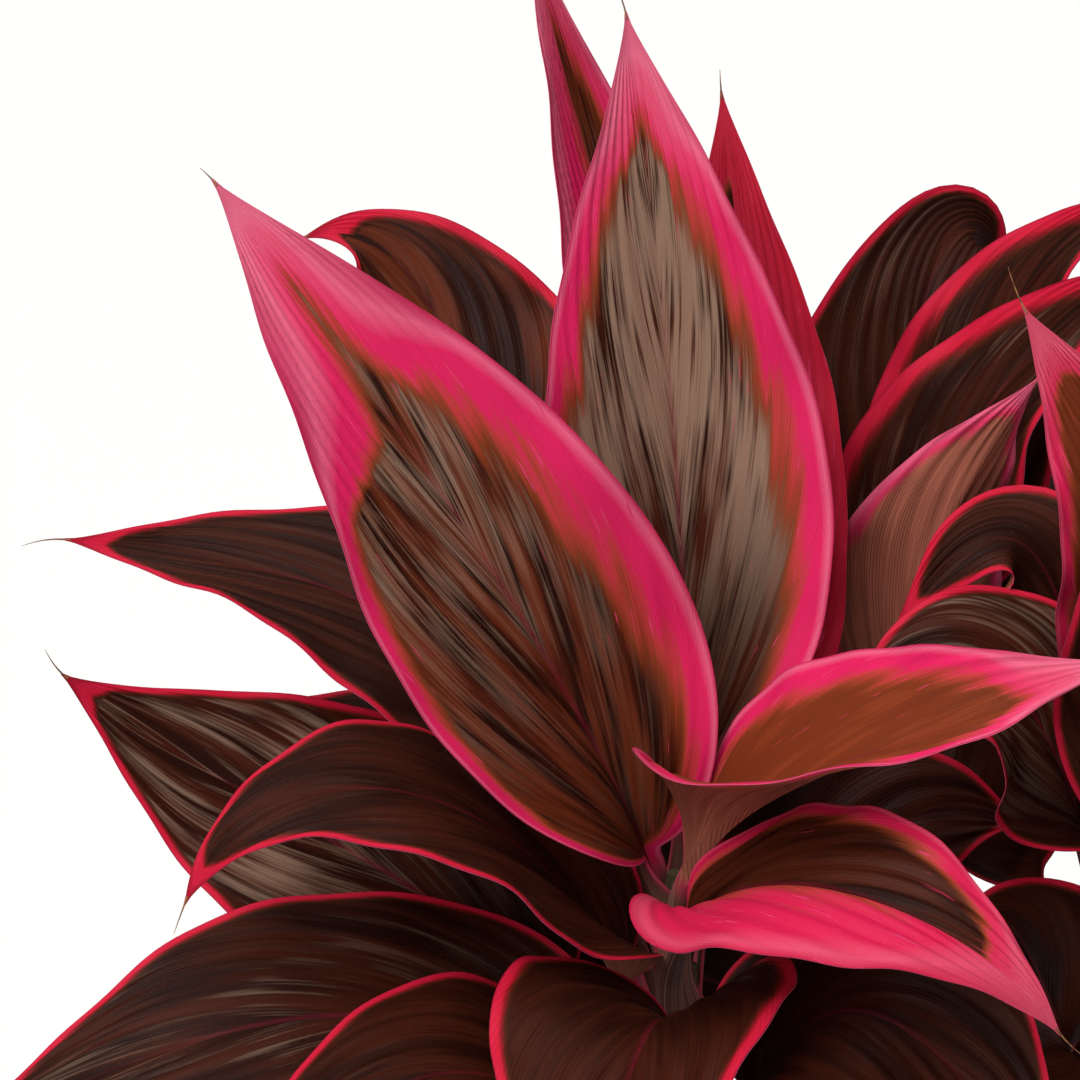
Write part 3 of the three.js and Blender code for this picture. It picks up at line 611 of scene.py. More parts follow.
def hair_piece(leaves, material):
    """The dried thread that each leaf's tip runs out into."""
    bm = bmesh.new()
    draw = random.Random(HAIR["seed"])
    for leaf in leaves:
        at, along, up, right = (Vector(rows[0]) for rows in leaf.frame(np.array([1.0])))
        length = draw.uniform(*HAIR["length"])
        bend = up * draw.uniform(*HAIR_BEND[0]) + right * draw.uniform(*HAIR_BEND[1])
        turn = along.to_track_quat("Z", "Y").to_matrix().to_4x4()
        rings = []
        for step in range(HAIR_RINGS):
            s = step / (HAIR_RINGS - 1)
            centre = at + along * (length * s - HAIR["overlap"]) + bend * (length * HAIR["curve"] * s * s)
            made = bmesh.ops.create_circle(
                bm, segments=HAIR_SIDES, radius=mixed(*HAIR["radius"], s) * MM,
                matrix=Matrix.Translation(centre * MM) @ turn)
            rings.append(made["verts"])
        for first, second in zip(rings, rings[1:]):
            edges = [e for ring in (first, second) for vert in ring for e in vert.link_edges
                     if e.other_vert(vert) in ring]
            bmesh.ops.bridge_loops(bm, edges=list(set(edges)))
        bmesh.ops.contextual_create(bm, geom=rings[0])
        bmesh.ops.contextual_create(bm, geom=rings[-1])
    bmesh.ops.recalc_face_normals(bm, faces=bm.faces[:])
    placed("leaf_tip_hairs", mesh_of("leaf_tip_hairs", bm), material, sharp=40)


# Canes.

# The bark in millimetres: how far apart its rows of vertices are, how far below the cane's top it ends, how
# much thinner than the cane it starts out, how it narrows towards the top, and its soft lumps, each with a
# height, a count round the cane and a length along it.
BARK_ROW = 1.6
BARK_SIDES = 28
BARK_END = 6
BARK_INSET = 0.5
NARROWING = {"length": 22, "share": 0.6}
LUMPS = ((0.22, 3, 31), (0.12, 7, -13))
# A leaf scar: where the first and the last are, and the range of their pitch and size as shares of the
# usual. A scar slants round the cane, and has a raised lip with a dip and a dark line below.
SCAR = {"above_soil": -4, "below_top": 12, "pitch": (0.75, 1.3), "size": (0.7, 1.2), "slant": 1.6}
SCAR_LIP_WIDTH = 1.1
SCAR_DIP = {"depth": 0.7, "below": 2.2, "width": 1.3}
SCAR_LINE = {"below": 2.0, "width": 1.1}
# The bark's material reads heights in decimetres.
DECIMETRE = 100


def cane_piece(name, sizes, material):
    """A cane: a turned stem with a slanting scar where each old leaf fell, bent along its axis."""
    cane = CANES[name]
    draw = random.Random(name)
    top = cane["top"][2]
    scars = []
    z = SOIL_TOP + SCAR["above_soil"]
    while z < top - SCAR["below_top"]:
        scars.append((z, draw.uniform(0, 2 * math.pi), draw.uniform(*SCAR["size"])))
        z += sizes.scar_pitch / MM * draw.uniform(*SCAR["pitch"])
    rows = int((top - CANE_SEAT - BARK_END) / BARK_ROW)
    bm = turned_shape([(1, CANE_SEAT + BARK_ROW * i) for i in range(rows)], BARK_SIDES)
    bmesh.ops.holes_fill(bm, edges=bm.edges[:], sides=BARK_SIDES)
    bmesh.ops.recalc_face_normals(bm, faces=bm.faces[:])
    mesh = mesh_of("cane_bark_" + name, bm)

    x, y, z = positions(mesh).T
    angle = np.arctan2(y, x)
    share = (z - CANE_SEAT) / (top - CANE_SEAT)
    radius = mixed(*CANE_RADIUS, share) - BARK_INSET
    radius = radius * (1 - NARROWING["share"] * smoothstep(z, top - NARROWING["length"], top) ** 2)
    scar = np.zeros(len(z))
    for height, phase, size in scars:
        offset = z - height - SCAR["slant"] * np.cos(angle - phase)
        dip = SCAR_DIP["depth"] * bell(offset + SCAR_DIP["below"], SCAR_DIP["width"])
        radius += sizes.scar_height / MM * size * (bell(offset, SCAR_LIP_WIDTH) - dip)
        scar += size * bell(offset + SCAR_LINE["below"], SCAR_LINE["width"])
    radius += sum(height * np.sin(count * angle + z / length) for height, count, length in LUMPS)
    middle_x, middle_y = cane_axis(cane, z)
    move_to(mesh, np.column_stack([middle_x + radius * np.cos(angle), middle_y + radius * np.sin(angle), z]))
    write_attribute(mesh, "scar", np.clip(scar, 0, 1))
    write_attribute(mesh, "turn", angle)
    write_attribute(mesh, "height", z / DECIMETRE)
    piece = placed("cane_bark_" + name, mesh, material, sharp=50)
    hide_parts("cane_" + name)


# The pot and the soil.

# The pot's details in metres: its floor, the ring it stands on, its band, its lip and its drain holes.
POT_FLOOR = 0.004
STAND_RING = {"inner": 0.014, "outer": 0.012, "height": 0.0015}
BAND = {"height": 0.020, "proud": 0.004, "step_in": 0.0012, "step_up": 0.001}
LIP = {"height": 0.006, "inset": 0.0005}
# The radius of its rounded corners, and the most of a side that a corner may take.
POT_ROUNDING = 0.0016
CORNER_SHARE = 0.4
POT_SIDES = 120
DRAINS = {"count": 8, "from_middle": 0.062, "radius": 0.005, "depth": 0.012, "sides": 24}
# The compost in metres: its gap to the wall, its foot, and how far and how wide its surface dips at the
# edge.
SOIL_GAP = 0.0006
SOIL_FOOT = 0.0045
SOIL_DIP = {"depth": 0.003, "width": 0.008, "step": 0.0004}
SOIL_RINGS = 52
SOIL_SIDES = 132
# The roughness of its surface: each has a scale, a salt and a height in metres.
SOIL_NOISE = ((28, 1.7, 0.0024), (130, 4.1, 0.0012), (420, 8.3, 0.0006))
# Chips and grit: the range of their lengths in millimetres, and of their width and height as shares of it.
CHIPS = {"long": (4, 13), "wide": (0.35, 0.7), "high": (0.12, 0.25)}
GRIT = {"long": (1.6, 3.4), "wide": (0.7, 1), "high": (0.6, 0.9)}
CHIPS_PER_GRIT = 4
# How they are strewn: how far they stay from the pot's wall and the canes in millimetres, how they are
# turned and tilted in radians, the share of their height that they are lifted by, and how far their points
# lie from their middle.
STREWN = {"seed": 77, "from_wall": 12, "from_cane": 13, "turn": (0, 6.3), "tilt": 0.28, "lift": 0.25}
POINTS = (0.40, 0.62)


def outer_radius(sizes, z):
    """The radius of the pot's wall outside at a height."""
    return mixed(sizes.foot_radius, sizes.rim_radius - BAND["proud"], z / sizes.height)


def rounded(corners, radius, steps=4):
    """A profile with each corner but the first and last cut to a small arc."""
    points = [Vector(corners[0])]
    for before, corner, after in zip(corners, corners[1:], corners[2:]):
        a, c, b = Vector(before), Vector(corner), Vector(after)
        cut = min(radius, CORNER_SHARE * (a - c).length, CORNER_SHARE * (b - c).length)
        start, end = c + (a - c).normalized() * cut, c + (b - c).normalized() * cut
        points += [start.lerp(c, i / steps).lerp(c.lerp(end, i / steps), i / steps) for i in range(steps + 1)]
    return points + [Vector(corners[-1])]


def pot_piece(sizes, material):
    """The pot: a turned wall with a band round its rim, and drain holes through its floor."""
    h, w = sizes.height, sizes.wall
    foot = sizes.foot_radius
    band = h - BAND["height"]
    corners = [
        (0, STAND_RING["height"]), (foot - STAND_RING["inner"], STAND_RING["height"]),
        (foot - STAND_RING["outer"], 0), (foot, 0), (outer_radius(sizes, band), band),
        (sizes.rim_radius - BAND["step_in"], band + BAND["step_up"]), (sizes.rim_radius, h),
        (outer_radius(sizes, h) - w + LIP["inset"], h),
        (outer_radius(sizes, h - LIP["height"]) - w, h - LIP["height"]),
        (foot - w, POT_FLOOR), (0, POT_FLOOR),
    ]
    bm = turned_shape([tuple(p) for p in rounded(corners, POT_ROUNDING)], POT_SIDES)
    pot = placed("growers_pot", mesh_of("growers_pot", bm), material, sharp=35)
    drills = bmesh.new()
    for i in range(DRAINS["count"]):
        angle = (i + 0.5) / DRAINS["count"] * 2 * math.pi
        x, y = DRAINS["from_middle"] * math.cos(angle), DRAINS["from_middle"] * math.sin(angle)
        bmesh.ops.create_cone(
            drills, cap_ends=True, segments=DRAINS["sides"], radius1=DRAINS["radius"],
            radius2=DRAINS["radius"], depth=DRAINS["depth"], matrix=Matrix.Translation((x, y, POT_FLOOR / 2)))
    cutter = linked("pot_drill", mesh_of("pot_drill", drills))
    cut = pot.modifiers.new("drain", "BOOLEAN")
    cut.object = cutter
    cut.operation = "DIFFERENCE"
    bpy.context.view_layer.update()
    drilled = bpy.data.meshes.new_from_object(pot.evaluated_get(bpy.context.evaluated_depsgraph_get()))
    pot.modifiers.clear()
    pot.data = drilled
    bpy.data.objects.remove(cutter)
    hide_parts("pot")


def soil_height(x, y):
    """The height of the compost's surface in metres."""
    return SOIL_TOP * MM + sum(
        height * noise.noise(Vector((x * scale, y * scale, salt))) for scale, salt, height in SOIL_NOISE)


def soil_piece(sizes, material):
    """The compost: a turned block with a rough surface that dips a little at its edge."""
    top = SOIL_TOP * MM
    edge = outer_radius(sizes, top) - sizes.wall - SOIL_GAP
    low = top - SOIL_DIP["depth"]
    foot = sizes.foot_radius - sizes.wall - SOIL_GAP
    profile = [(0, SOIL_FOOT), (foot, SOIL_FOOT), (edge - SOIL_DIP["step"], low)]
    profile += [(edge * (1 - i / SOIL_RINGS), top) for i in range(SOIL_RINGS + 1)]
    bm = turned_shape(profile, SOIL_SIDES)
    for vert in bm.verts:
        if vert.co.z > top - MERGE_DISTANCE:
            settle = smoothstep(math.hypot(vert.co.x, vert.co.y), edge - SOIL_DIP["width"], edge)
            vert.co.z = mixed(soil_height(vert.co.x, vert.co.y), low, float(settle))
    piece = placed("compost", mesh_of("compost", bm), material, sharp=180)
    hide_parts("soil")


def chip_pieces(sizes, bark, white):
    """Bark chips and white grit, strewn over the compost by a seeded draw, clear of the canes."""
    draw = random.Random(STREWN["seed"])
    stems = [cane_axis(cane, SOIL_TOP) for cane in CANES.values()]
    edge = outer_radius(sizes, SOIL_TOP * MM) / MM - STREWN["from_wall"]
    for name, form, count, material in (
        ("bark_chips", CHIPS, sizes.chips, bark), ("grit", GRIT, sizes.chips // CHIPS_PER_GRIT, white),
    ):
        bm = bmesh.new()
        for _ in range(count):
            r, a = edge * math.sqrt(draw.random()), draw.uniform(0, 2 * math.pi)
            x, y = r * math.cos(a), r * math.sin(a)
            if min(math.hypot(x - sx, y - sy) for sx, sy in stems) < STREWN["from_cane"]:
                continue
            long = draw.uniform(*form["long"])
            scale = (long, long * draw.uniform(*form["wide"]), long * draw.uniform(*form["high"]))
            turn = Matrix.Rotation(draw.uniform(*STREWN["turn"]), 4, "Z")
            turn = turn @ Matrix.Rotation(draw.gauss(0, STREWN["tilt"]), 4, "X")
            turn = turn @ Matrix.Rotation(draw.gauss(0, STREWN["tilt"]), 4, "Y")
            height = soil_height(x * MM, y * MM) / MM + STREWN["lift"] * scale[2]
            place = Matrix.Translation(Vector((x, y, height)) * MM) @ turn
            corners = bmesh.ops.create_cube(bm, size=MM)["verts"]
            faces = list(dict.fromkeys(f for vert in corners for f in vert.link_faces))
            edges = list(dict.fromkeys(e for f in faces for e in f.edges))
            made = bmesh.ops.subdivide_edges(bm, edges=edges, cuts=1, use_grid_fill=True)["geom"]
            verts = [vert for f in faces for vert in f.verts]
            verts += [g for g in made if isinstance(g, bmesh.types.BMVert)]
            verts = list(dict.fromkeys(verts))
            for vert in verts:
                vert.co = vert.co.normalized() * MM * draw.uniform(*POINTS)
            bmesh.ops.scale(bm, vec=scale, verts=verts)
            bmesh.ops.transform(bm, matrix=place, verts=verts)
        placed(name, mesh_of(name, bm), material, sharp=30)


# Materials.

# Colours that the panel doesn't hold.
BLUSH = (0.92, 0.36, 0.50)
PALE_TIP = (0.95, 0.30, 0.42)
ORANGE_RED = (0.45, 0.06, 0.02)
HAIR_COLOURS = ((0.30, 0.13, 0.05), (0.10, 0.04, 0.02))
YOUNG_BARK = (0.16, 0.13, 0.05)
DUST = (0.16, 0.13, 0.10)
GRIT_COLOURS = ((0.72, 0.70, 0.66), (0.85, 0.84, 0.80))
# The floor as the camera sees it, and as light that bounces off it does.
FLOOR_WHITE = (0.96, 0.96, 0.96)
FLOOR_BOUNCE = (0.45, 0.45, 0.45)


class Nodes:
    """A material's node tree, with short calls to add to it."""

    def __init__(self, name, roughness, specular):
        self.material = bpy.data.materials.new(name)
        self.material.use_nodes = True
        self.tree = self.material.node_tree
        self.tree.nodes.clear()
        out = self.tree.nodes.new("ShaderNodeOutputMaterial")
        self.shader = self.tree.nodes.new("ShaderNodeBsdfPrincipled")
        self.shader.inputs["Roughness"].default_value = roughness
        self.shader.inputs["Specular IOR Level"].default_value = specular
        self.tree.links.new(self.shader.outputs[0], out.inputs["Surface"])

    def add(self, kind, inputs=(), **settings):
        """A node with its settings, and its inputs linked or set."""
        node = self.tree.nodes.new("ShaderNode" + kind)
        for key, value in settings.items():
            setattr(node, key, value)
        for key, value in dict(inputs).items():
            self.set(node.inputs[key], value)
        return node

    def set(self, socket, value):
        if isinstance(value, bpy.types.NodeSocket):
            self.tree.links.new(value, socket)
        elif hasattr(value, "__len__") and socket.type == "RGBA":
            socket.default_value = (*value, 1)
        else:
            socket.default_value = value

    def number(self, name):
        """A number that the mesh keeps."""
        return self.add("Attribute", attribute_name=name).outputs["Fac"]

    def math(self, operation, a, b=0.0, clamp=False):
        return self.add("Math", {0: a, 1: b}, operation=operation, use_clamp=clamp).outputs[0]

    def ramp(self, value, low, high, start=0.0, end=1.0):
        """value mapped smoothly from low..high to start..end."""
        inputs = {0: value, 1: low, 2: high, 3: start, 4: end}
        return self.add("MapRange", inputs, interpolation_type="SMOOTHSTEP").outputs[0]

    def vector(self, x, y, z):
        return self.add("CombineXYZ", {0: x, 1: y, 2: z}).outputs[0]

    def noise(self, vector, scale, detail=2.0, roughness=0.5):
        inputs = {"Vector": vector, "Scale": scale, "Detail": detail, "Roughness": roughness}
        return self.add("TexNoise", inputs).outputs[0]

    def mix(self, a, b, share):
        node = self.add("Mix", data_type="RGBA")
        self.set(node.inputs["Factor"], share)
        self.set(node.inputs[6], a)
        self.set(node.inputs[7], b)
        return node.outputs[2]

    def colours(self, value, stops):
        """A colour ramp of (position, colour) stops."""
        node = self.add("ValToRGB", {0: value})
        marks = node.color_ramp.elements
        while len(marks) < len(stops):
            marks.new(0.5)
        for mark, (position, colour) in zip(marks, stops):
            mark.position = position
            mark.color = (*colour, 1)
        return node.outputs[0]

    def place(self):
        """Places on the plant in metres."""
        return self.add("TexCoord").outputs["Object"]

    def bump(self, height, strength, distance):
        node = self.add("Bump", {"Height": height, "Strength": strength, "Distance": distance})
        self.set(self.shader.inputs["Normal"], node.outputs[0])

    def colour(self, value):
        self.set(self.shader.inputs["Base Color"], value)

    def rough(self, value):
        self.set(self.shader.inputs["Roughness"], value)


def shade(colour, amount):
    """A colour made darker, or lighter past 1."""
    return tuple(min(1.0, c * amount) for c in colour)


def blended(a, b, t):
    """A colour between two."""
    return tuple(mixed(x, y, t) for x, y in zip(a, b))


def leaf_material(name, sizes, young):
    """A leaf's skin: a pink edge that breaks into the dark middle along the veins, and a ribbed underside."""
    n = Nodes(name, 0.42, 0.08)
    vein, reach, edge, seed = (n.number(k) for k in ("vein", "reach", "edge", "seed"))
    along, rusty, bloom = (n.number(k) for k in ("along", "rusty", "bloom"))
    salt = n.math("MULTIPLY", seed, 5.3)

    def streaks(across_mm, along_mm, offset, detail=2.0):
        """Noise drawn out along the veins. Each offset gives another pattern."""
        x = n.math("DIVIDE", vein, across_mm)
        y = n.math("DIVIDE", reach, along_mm)
        return n.noise(n.vector(x, y, n.math("ADD", salt, offset)), 1.0, detail)

    broad = streaks(30, 70, 0.0)
    tongue = streaks(24, 46, 5.0, 1.0)
    medium = streaks(11, 50, 3.0)
    fine = streaks(4.2, 40, 7.0)
    patch = streaks(70, 60, 11.0)
    fleck = n.noise(n.place(), 900)

    # How far from the edge a point seems to be, pushed in and out along the veins.
    ragged = 1.0 if young else 0.5
    push = n.math("MULTIPLY", n.math("SUBTRACT", tongue, 0.5), 1.3 * ragged)
    push = n.math("ADD", push, n.math("MULTIPLY", n.math("SUBTRACT", medium, 0.5), 0.6 * ragged))
    push = n.math("ADD", push, n.math("MULTIPLY", n.math("SUBTRACT", fine, 0.5), 0.5))
    seems = n.math("ADD", edge, n.math("MULTIPLY", push, n.ramp(edge, 0.2, 1.1)))
    band = n.math("MULTIPLY", seems, 1 / 3, clamp=True)

    # The edge's colours, from the rim inwards.
    pink, rust_and_glow, dark = tuple(sizes.pink), tuple(sizes.rust_and_glow), tuple(sizes.dark)
    crimson, grey = tuple(sizes.crimson), tuple(sizes.grey)
    pale = blended(pink, BLUSH, 0.30)
    if young:
        stops = [(0.0, shade(pink, 0.7)), (0.05, pale), (0.14, pink), (0.29, pink),
                 (0.42, blended(pink, ORANGE_RED, 0.7)), (0.55, rust_and_glow), (0.76, blended(rust_and_glow, dark, 0.7))]
    else:
        stops = [(0.0, shade(crimson, 0.6)), (0.06, blended(crimson, pink, 0.2)), (0.26, crimson),
                 (0.36, blended(crimson, dark, 0.6)), (0.48, blended(rust_and_glow, dark, 0.85)), (0.62, dark)]
    rim_colour = n.colours(band, stops)
    if young:
        tips = n.math("MULTIPLY", n.ramp(along, 0.70, 1.0, 0.0, 0.6), n.ramp(seems, 1.3, 0.6))
        rim_colour = n.mix(rim_colour, blended(pale, PALE_TIP, 0.5), tips)
        redness = n.math("MULTIPLY", n.number("redness"), n.ramp(seems, 1.3, 0.8))
        rim_colour = n.mix(rim_colour, crimson, redness)

    # The middle is dark, with grey streaks that fade at both ends of the blade, partly the leaf's own streaks
    # and partly painted sheen, and patches of rust.
    streak = n.math("ADD", n.math("MULTIPLY", medium, 0.5), n.math("MULTIPLY", fine, 0.5))
    painted_sheen_streaks = n.math("ADD", n.math("MULTIPLY", streak, 0.62), n.math("MULTIPLY", patch, 0.38))
    level = n.math("SUBTRACT", 0.60, n.math("MULTIPLY", bloom, 0.13))
    painted_sheen_streaks = n.math("MULTIPLY", n.math("SUBTRACT", painted_sheen_streaks, level), 8.0, clamp=True)
    painted_sheen_streaks = n.math("MULTIPLY", painted_sheen_streaks, n.math("MULTIPLY", bloom, 0.9))
    fade = n.math("MULTIPLY", n.ramp(along, 0.12, 0.56, 0.15, 1.0), n.ramp(along, 0.88, 1.0, 1.0, 0.2))
    middle = n.mix(shade(dark, 0.55), shade(dark, 1.3), n.ramp(broad, 0.36, 0.64))
    middle = n.mix(middle, shade(dark, 0.45), n.math("MULTIPLY", n.ramp(fine, 0.50, 0.62), 0.7))
    middle = n.mix(middle, grey, n.math("MULTIPLY", painted_sheen_streaks, fade))
    # Patches of rust, and on the leaves with the most rust a rust fill over the whole middle, which is a
    # painted glow of light shining through the thin blade.
    reddish = n.math("ADD", n.math("MULTIPLY", broad, 0.7), n.math("MULTIPLY", streak, 0.3))
    reddish = n.math("MULTIPLY", n.ramp(reddish, 0.40, 0.60), rusty)
    rust_and_glow_middle = n.math("MAXIMUM", reddish, n.math("MULTIPLY", n.ramp(rusty, 0.7, 1.0), 0.8))
    middle = n.mix(middle, rust_and_glow, rust_and_glow_middle)
    inside = n.ramp(seems, 1.5, 2.2)
    top = n.mix(rim_colour, middle, inside)
    if young:
        dashes = n.ramp(streaks(7, 22, 19.0), 0.66, 0.70)
        dashes = n.math("MULTIPLY", dashes, n.ramp(seems, 3.6, 1.2, 0.0, 0.9))
        top = n.mix(top, blended(pink, pale, 0.3), dashes)

    # The midrib is a fine reddish line, and each vein darkens the skin a little.
    across = n.math("ABSOLUTE", n.number("across"))
    rib = n.math("MULTIPLY", n.ramp(across, 0.0, 0.035, 1.0, 0.0), n.ramp(along, 0.3, 0.95, 0.4, 0.0))
    top = n.mix(top, blended(pink, dark, 0.75), rib)
    pitch = sizes.vein_pitch / MM
    vein_wave = n.math("COSINE", n.math("MULTIPLY", vein, 2 * math.pi / pitch))
    lines = n.ramp(vein_wave, 0.2, 1.0)
    top = n.mix(top, shade(dark, 0.9), n.math("MULTIPLY", lines, 0.16))

    # The underside is paler and ribbed, with the pink showing at its edge.
    under = tuple(sizes.under)
    below = n.mix(under, blended(under, dark, 0.75), n.math("MULTIPLY", lines, 0.7))
    below = n.mix(below, shade(under, 1.5), n.math("MULTIPLY", n.ramp(fine, 0.5, 0.7), 0.5))
    below = n.mix(n.mix(pale, pink, n.ramp(seems, 0.1, 0.6)), below, n.ramp(seems, 0.35, 0.9))
    skin = n.mix(top, below, n.number("under"))

    stalk = tuple(sizes.stalk)
    striped = n.mix(stalk, blended(stalk, dark, 0.7), n.ramp(fine, 0.42, 0.6))
    striped = n.mix(blended(pink, stalk, 0.4), striped, n.ramp(across, 0.98, 0.85))
    skin = n.mix(skin, striped, n.ramp(n.number("stalk"), 0.25, 0.85))
    skin = n.mix(skin, shade(rust_and_glow, 0.8), n.math("MULTIPLY", n.ramp(fleck, 0.66, 0.74), 0.25))
    n.colour(skin)

    n.rough(n.math("ADD", n.math("MULTIPLY", streak, 0.5), 0.20))
    relief = n.math("ADD", n.math("MULTIPLY", vein_wave, 0.10), n.math("MULTIPLY", medium, 1.5))
    relief = n.math("ADD", relief, n.math("MULTIPLY", fine, 0.8))
    relief = n.math("ADD", relief, n.math("MULTIPLY", fleck, 0.10))
    n.bump(relief, 0.5, 0.0005)
    return n.material


def hair_material():
    """Dry brown fibre for the threads."""
    n = Nodes("hair_skin", 0.55, 0.4)
    grain = n.noise(n.place(), 260, 3)
    n.colour(n.mix(*HAIR_COLOURS, n.ramp(grain, 0.4, 0.62)))
    n.bump(grain, 0.3, 0.0002)
    return n.material


def bark_material(sizes):
    """Grey-brown bark with fine upright cracks, dark under each scar, and greener towards the crown."""
    n = Nodes("cane_bark_skin", 0.75, 0.3)
    turn, height, scar = n.number("turn"), n.number("height"), n.number("scar")
    round_x, round_y = n.math("COSINE", turn), n.math("SINE", turn)
    cracks = n.noise(n.vector(n.math("MULTIPLY", round_x, 5), n.math("MULTIPLY", round_y, 5),
                              n.math("MULTIPLY", height, 3.5)), 2.2, 5, 0.62)
    blotch = n.noise(n.place(), 45, 4)
    grain = n.noise(n.place(), 900, 3)
    bark, crack = tuple(sizes.bark), tuple(sizes.crack)
    skin = n.mix(bark, shade(bark, 1.45), n.ramp(blotch, 0.42, 0.62))
    skin = n.mix(skin, YOUNG_BARK, n.ramp(height, 3.4, 4.8, 0.0, 0.7))
    skin = n.mix(crack, skin, n.ramp(cracks, 0.36, 0.52))
    skin = n.mix(skin, crack, n.math("MULTIPLY", scar, 0.85))
    n.colour(n.mix(skin, shade(bark, 0.5), n.math("MULTIPLY", n.ramp(grain, 0.5, 0.75), 0.5)))
    n.bump(n.math("ADD", cracks, n.math("MULTIPLY", grain, 0.35)), 0.7, 0.0008)
    n.rough(n.math("ADD", 0.62, n.math("MULTIPLY", blotch, 0.3)))
    return n.material


def plastic_material(sizes):
    """Moulded plastic with a fine grain and a little dust near the foot."""
    n = Nodes("pot_skin", 0.5, 0.45)
    place = n.place()
    grain = n.noise(place, 2600, 2)
    cloud = n.noise(place, 22, 4)
    height = n.add("SeparateXYZ", {0: place}).outputs[2]
    dust = n.math("MULTIPLY", n.ramp(height, 0.0, 0.05, 1.0, 0.0), n.ramp(cloud, 0.4, 0.7))
    plastic = tuple(sizes.plastic)
    skin = n.mix(plastic, shade(plastic, 1.3), n.ramp(cloud, 0.4, 0.65))
    n.colour(n.mix(skin, DUST, n.math("MULTIPLY", dust, 0.35)))
    n.rough(n.math("ADD", 0.42, n.math("MULTIPLY", cloud, 0.22)))
    n.bump(grain, 0.35, 0.0002)
    return n.material


def crumb_material(name, colour, pale, scale):
    """A dull crumbly skin, for compost, bark chips and grit."""
    n = Nodes(name, 0.9, 0.2)
    place = n.place()
    coarse, fine = n.noise(place, scale, 5, 0.6), n.noise(place, scale * 6, 3, 0.6)
    skin = n.mix(shade(colour, 0.5), colour, n.ramp(coarse, 0.35, 0.55))
    n.colour(n.mix(skin, pale, n.math("MULTIPLY", n.ramp(fine, 0.52, 0.72), 0.6)))
    n.bump(n.math("ADD", coarse, n.math("MULTIPLY", fine, 0.4)), 0.8, 0.0012)
    return n.material


def floor_material():
    """Pale paint that throws only part of its light back on the plant."""
    n = Nodes("studio_floor_paint", 0.9, 0.1)
    n.colour(n.mix(FLOOR_BOUNCE, FLOOR_WHITE, n.add("LightPath").outputs["Is Camera Ray"]))
    return n.material


# Operators.

# Each lamp: the name of its strength in the panel, the angle that it is spread over, and the way it shines.
LAMPS = {
    "key_light": ("key", 45, (0.50, 0.75, -1.10)),
    "front_light": ("front", 50, (0.35, 0.85, -0.45)),
    "fill_light": ("fill", 60, (-0.9, 0.5, -0.8)),
    "top_light": ("top", 70, (0.05, -0.1, -1.0)),
}
LAMP_WHITE = (1.0, 0.985, 0.965)
# The photograph's camera: its place, its aim and how far it sees in metres, and its lens in millimetres.
EYE = (-0.114, -1.4839, 1.0022)
AIM = (-0.114, -0.035, 0.614)
FAR_END = 100
SENSOR = 36
LENS = 144.93


class TI_OT_pot(bpy.types.Operator):
    """Turn the pot and drill its drain holes"""

    bl_idname = "ti_plant.pot"
    bl_label = "Pot"

    def execute(self, context):
        sizes = context.scene.ti_pot
        pot_piece(sizes, plastic_material(sizes))
        return {"FINISHED"}


class TI_OT_soil(bpy.types.Operator):
    """Fill the pot with compost and strew chips and grit over it"""

    bl_idname = "ti_plant.soil"
    bl_label = "Compost"

    def execute(self, context):
        sizes = context.scene.ti_pot
        soil_piece(sizes, crumb_material("compost_skin", tuple(sizes.peat), shade(sizes.peat, 2.2), 260))
        bark = crumb_material("chip_skin", tuple(sizes.chip), shade(sizes.chip, 1.8), 320)
        white = crumb_material("grit_skin", *GRIT_COLOURS, 420)
        chip_pieces(sizes, bark, white)
        return {"FINISHED"}


class TI_OT_canes(bpy.types.Operator):
    """Grow the canes with their leaf scars"""

    bl_idname = "ti_plant.canes"
    bl_label = "Canes"

    def execute(self, context):
        sizes = context.scene.ti_canes
        bark = bark_material(sizes)
        for name in CANES:
            cane_piece(name, sizes, bark)
        return {"FINISHED"}


class TI_OT_leaves(bpy.types.Operator):
    """Unfold every leaf on its petiole, and the threads at their tips"""

    bl_idname = "ti_plant.leaves"
    bl_label = "Leaves"

    def execute(self, context):
        sizes = context.scene.ti_leaves
        materials = {
            "leaf_young": leaf_material("leaf_young_skin", sizes, True),
            "leaf_mature": leaf_material("leaf_mature_skin", sizes, False),
        }
        leaves = [leaf_piece(name, sizes, materials) for name in LEAVES]
        hair_piece(leaves, hair_material())
        return {"FINISHED"}


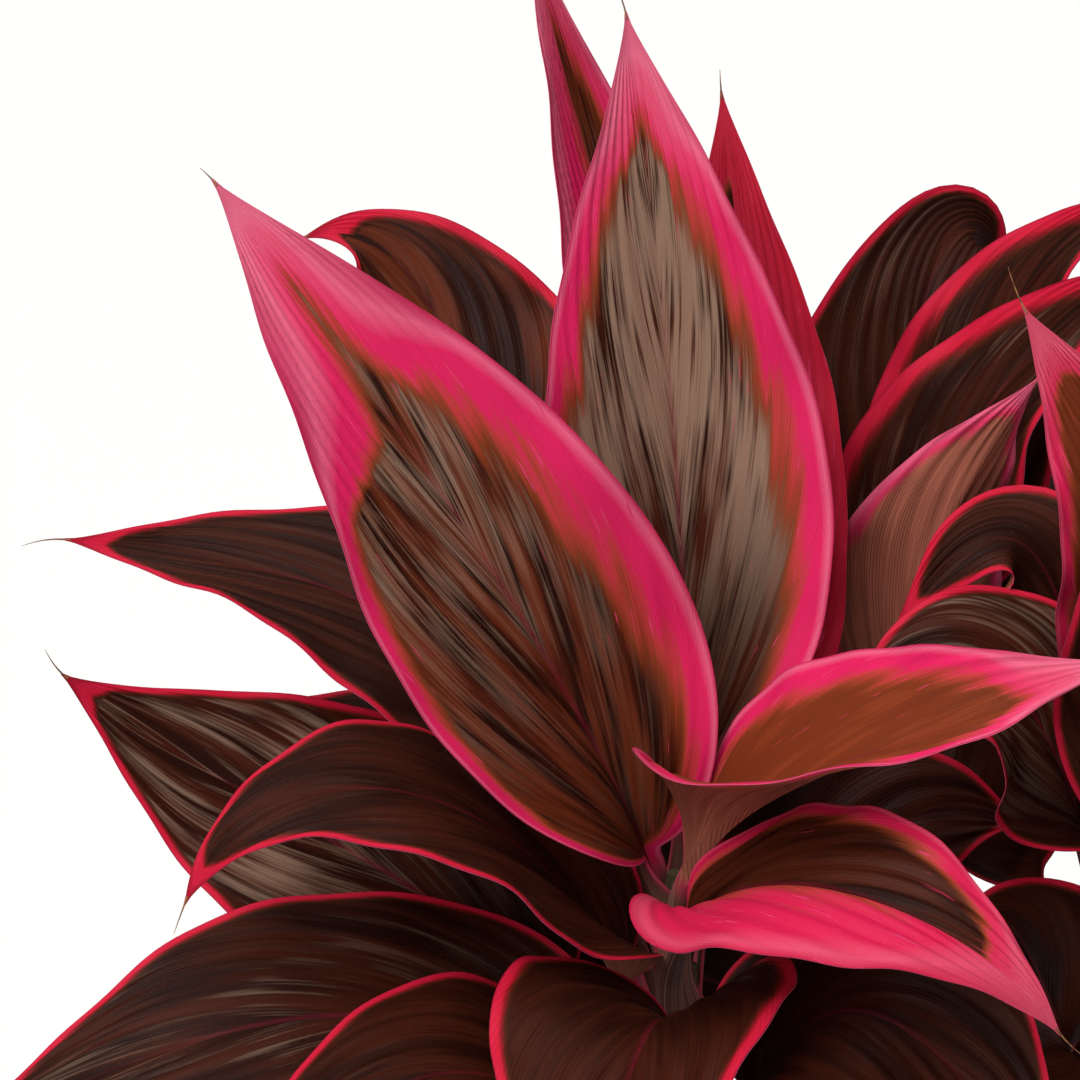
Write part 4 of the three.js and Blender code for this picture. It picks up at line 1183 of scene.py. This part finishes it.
class TI_OT_stage(bpy.types.Operator):
    """Lay the pale floor, and set the soft studio lights and the camera"""

    bl_idname = "ti_plant.stage"
    bl_label = "Stage"

    def execute(self, context):
        sizes = context.scene.ti_stage
        scene = context.scene
        bm = bmesh.new()
        bmesh.ops.create_grid(bm, x_segments=1, y_segments=1, size=sizes.floor_size / 2)
        mesh = mesh_of("studio_floor", bm)
        mesh.materials.append(floor_material())
        linked("studio_floor", mesh)

        for name, (strength, angle, toward) in LAMPS.items():
            lamp = bpy.data.lights.new(name, "SUN")
            lamp.energy = getattr(sizes, strength)
            lamp.angle = math.radians(angle)
            lamp.color = LAMP_WHITE
            linked(name, lamp).rotation_euler = Vector(toward).to_track_quat("-Z", "Y").to_euler()

        world = bpy.data.worlds.new("studio_room")
        world.use_nodes = True
        world.node_tree.nodes["Background"].inputs["Color"].default_value = (1, 1, 1, 1)
        world.node_tree.nodes["Background"].inputs["Strength"].default_value = sizes.sky
        scene.world = world
        scene.view_settings.view_transform = "Standard"

        camera = bpy.data.cameras.new("photo_camera")
        camera.sensor_width = SENSOR
        camera.lens = LENS
        camera.clip_end = FAR_END
        holder = linked("photo_camera", camera)
        holder.location = EYE
        holder.rotation_euler = (Vector(AIM) - Vector(EYE)).to_track_quat("-Z", "Y").to_euler()
        scene.camera = holder
        return {"FINISHED"}


class TI_PT_panel(bpy.types.Panel):
    """The ti plant's sizes and its parts"""

    bl_label = "Ti Plant"
    bl_idname = "TI_PT_panel"
    bl_space_type = "VIEW_3D"
    bl_region_type = "UI"
    bl_category = "Ti Plant"

    def draw(self, context):
        for group, operators in PANEL_ROWS:
            box = self.layout.box()
            settings = getattr(context.scene, group)
            for name in settings.__annotations__:
                box.prop(settings, name)
            for operator in operators:
                box.operator(operator)


GROUPS = {
    "ti_leaves": TI_leaf_sizes,
    "ti_canes": TI_cane_sizes,
    "ti_pot": TI_pot_sizes,
    "ti_stage": TI_stage_sizes,
}
PANEL_ROWS = (
    ("ti_pot", ("ti_plant.pot", "ti_plant.soil")),
    ("ti_canes", ("ti_plant.canes",)),
    ("ti_leaves", ("ti_plant.leaves",)),
    ("ti_stage", ("ti_plant.stage",)),
)
CLASSES = (*GROUPS.values(), TI_OT_pot, TI_OT_soil, TI_OT_canes, TI_OT_leaves, TI_OT_stage, TI_PT_panel)


def register():
    for cls in CLASSES:
        bpy.utils.register_class(cls)
    for name, group in GROUPS.items():
        setattr(bpy.types.Scene, name, bpy.props.PointerProperty(type=group))


def unregister():
    for name in GROUPS:
        delattr(bpy.types.Scene, name)
    for cls in reversed(CLASSES):
        bpy.utils.unregister_class(cls)


def main():
    register()
    bpy.ops.ti_plant.stage()
    bpy.ops.ti_plant.pot()
    bpy.ops.ti_plant.soil()
    bpy.ops.ti_plant.canes()
    bpy.ops.ti_plant.leaves()


if __name__ == "__main__":
    main()
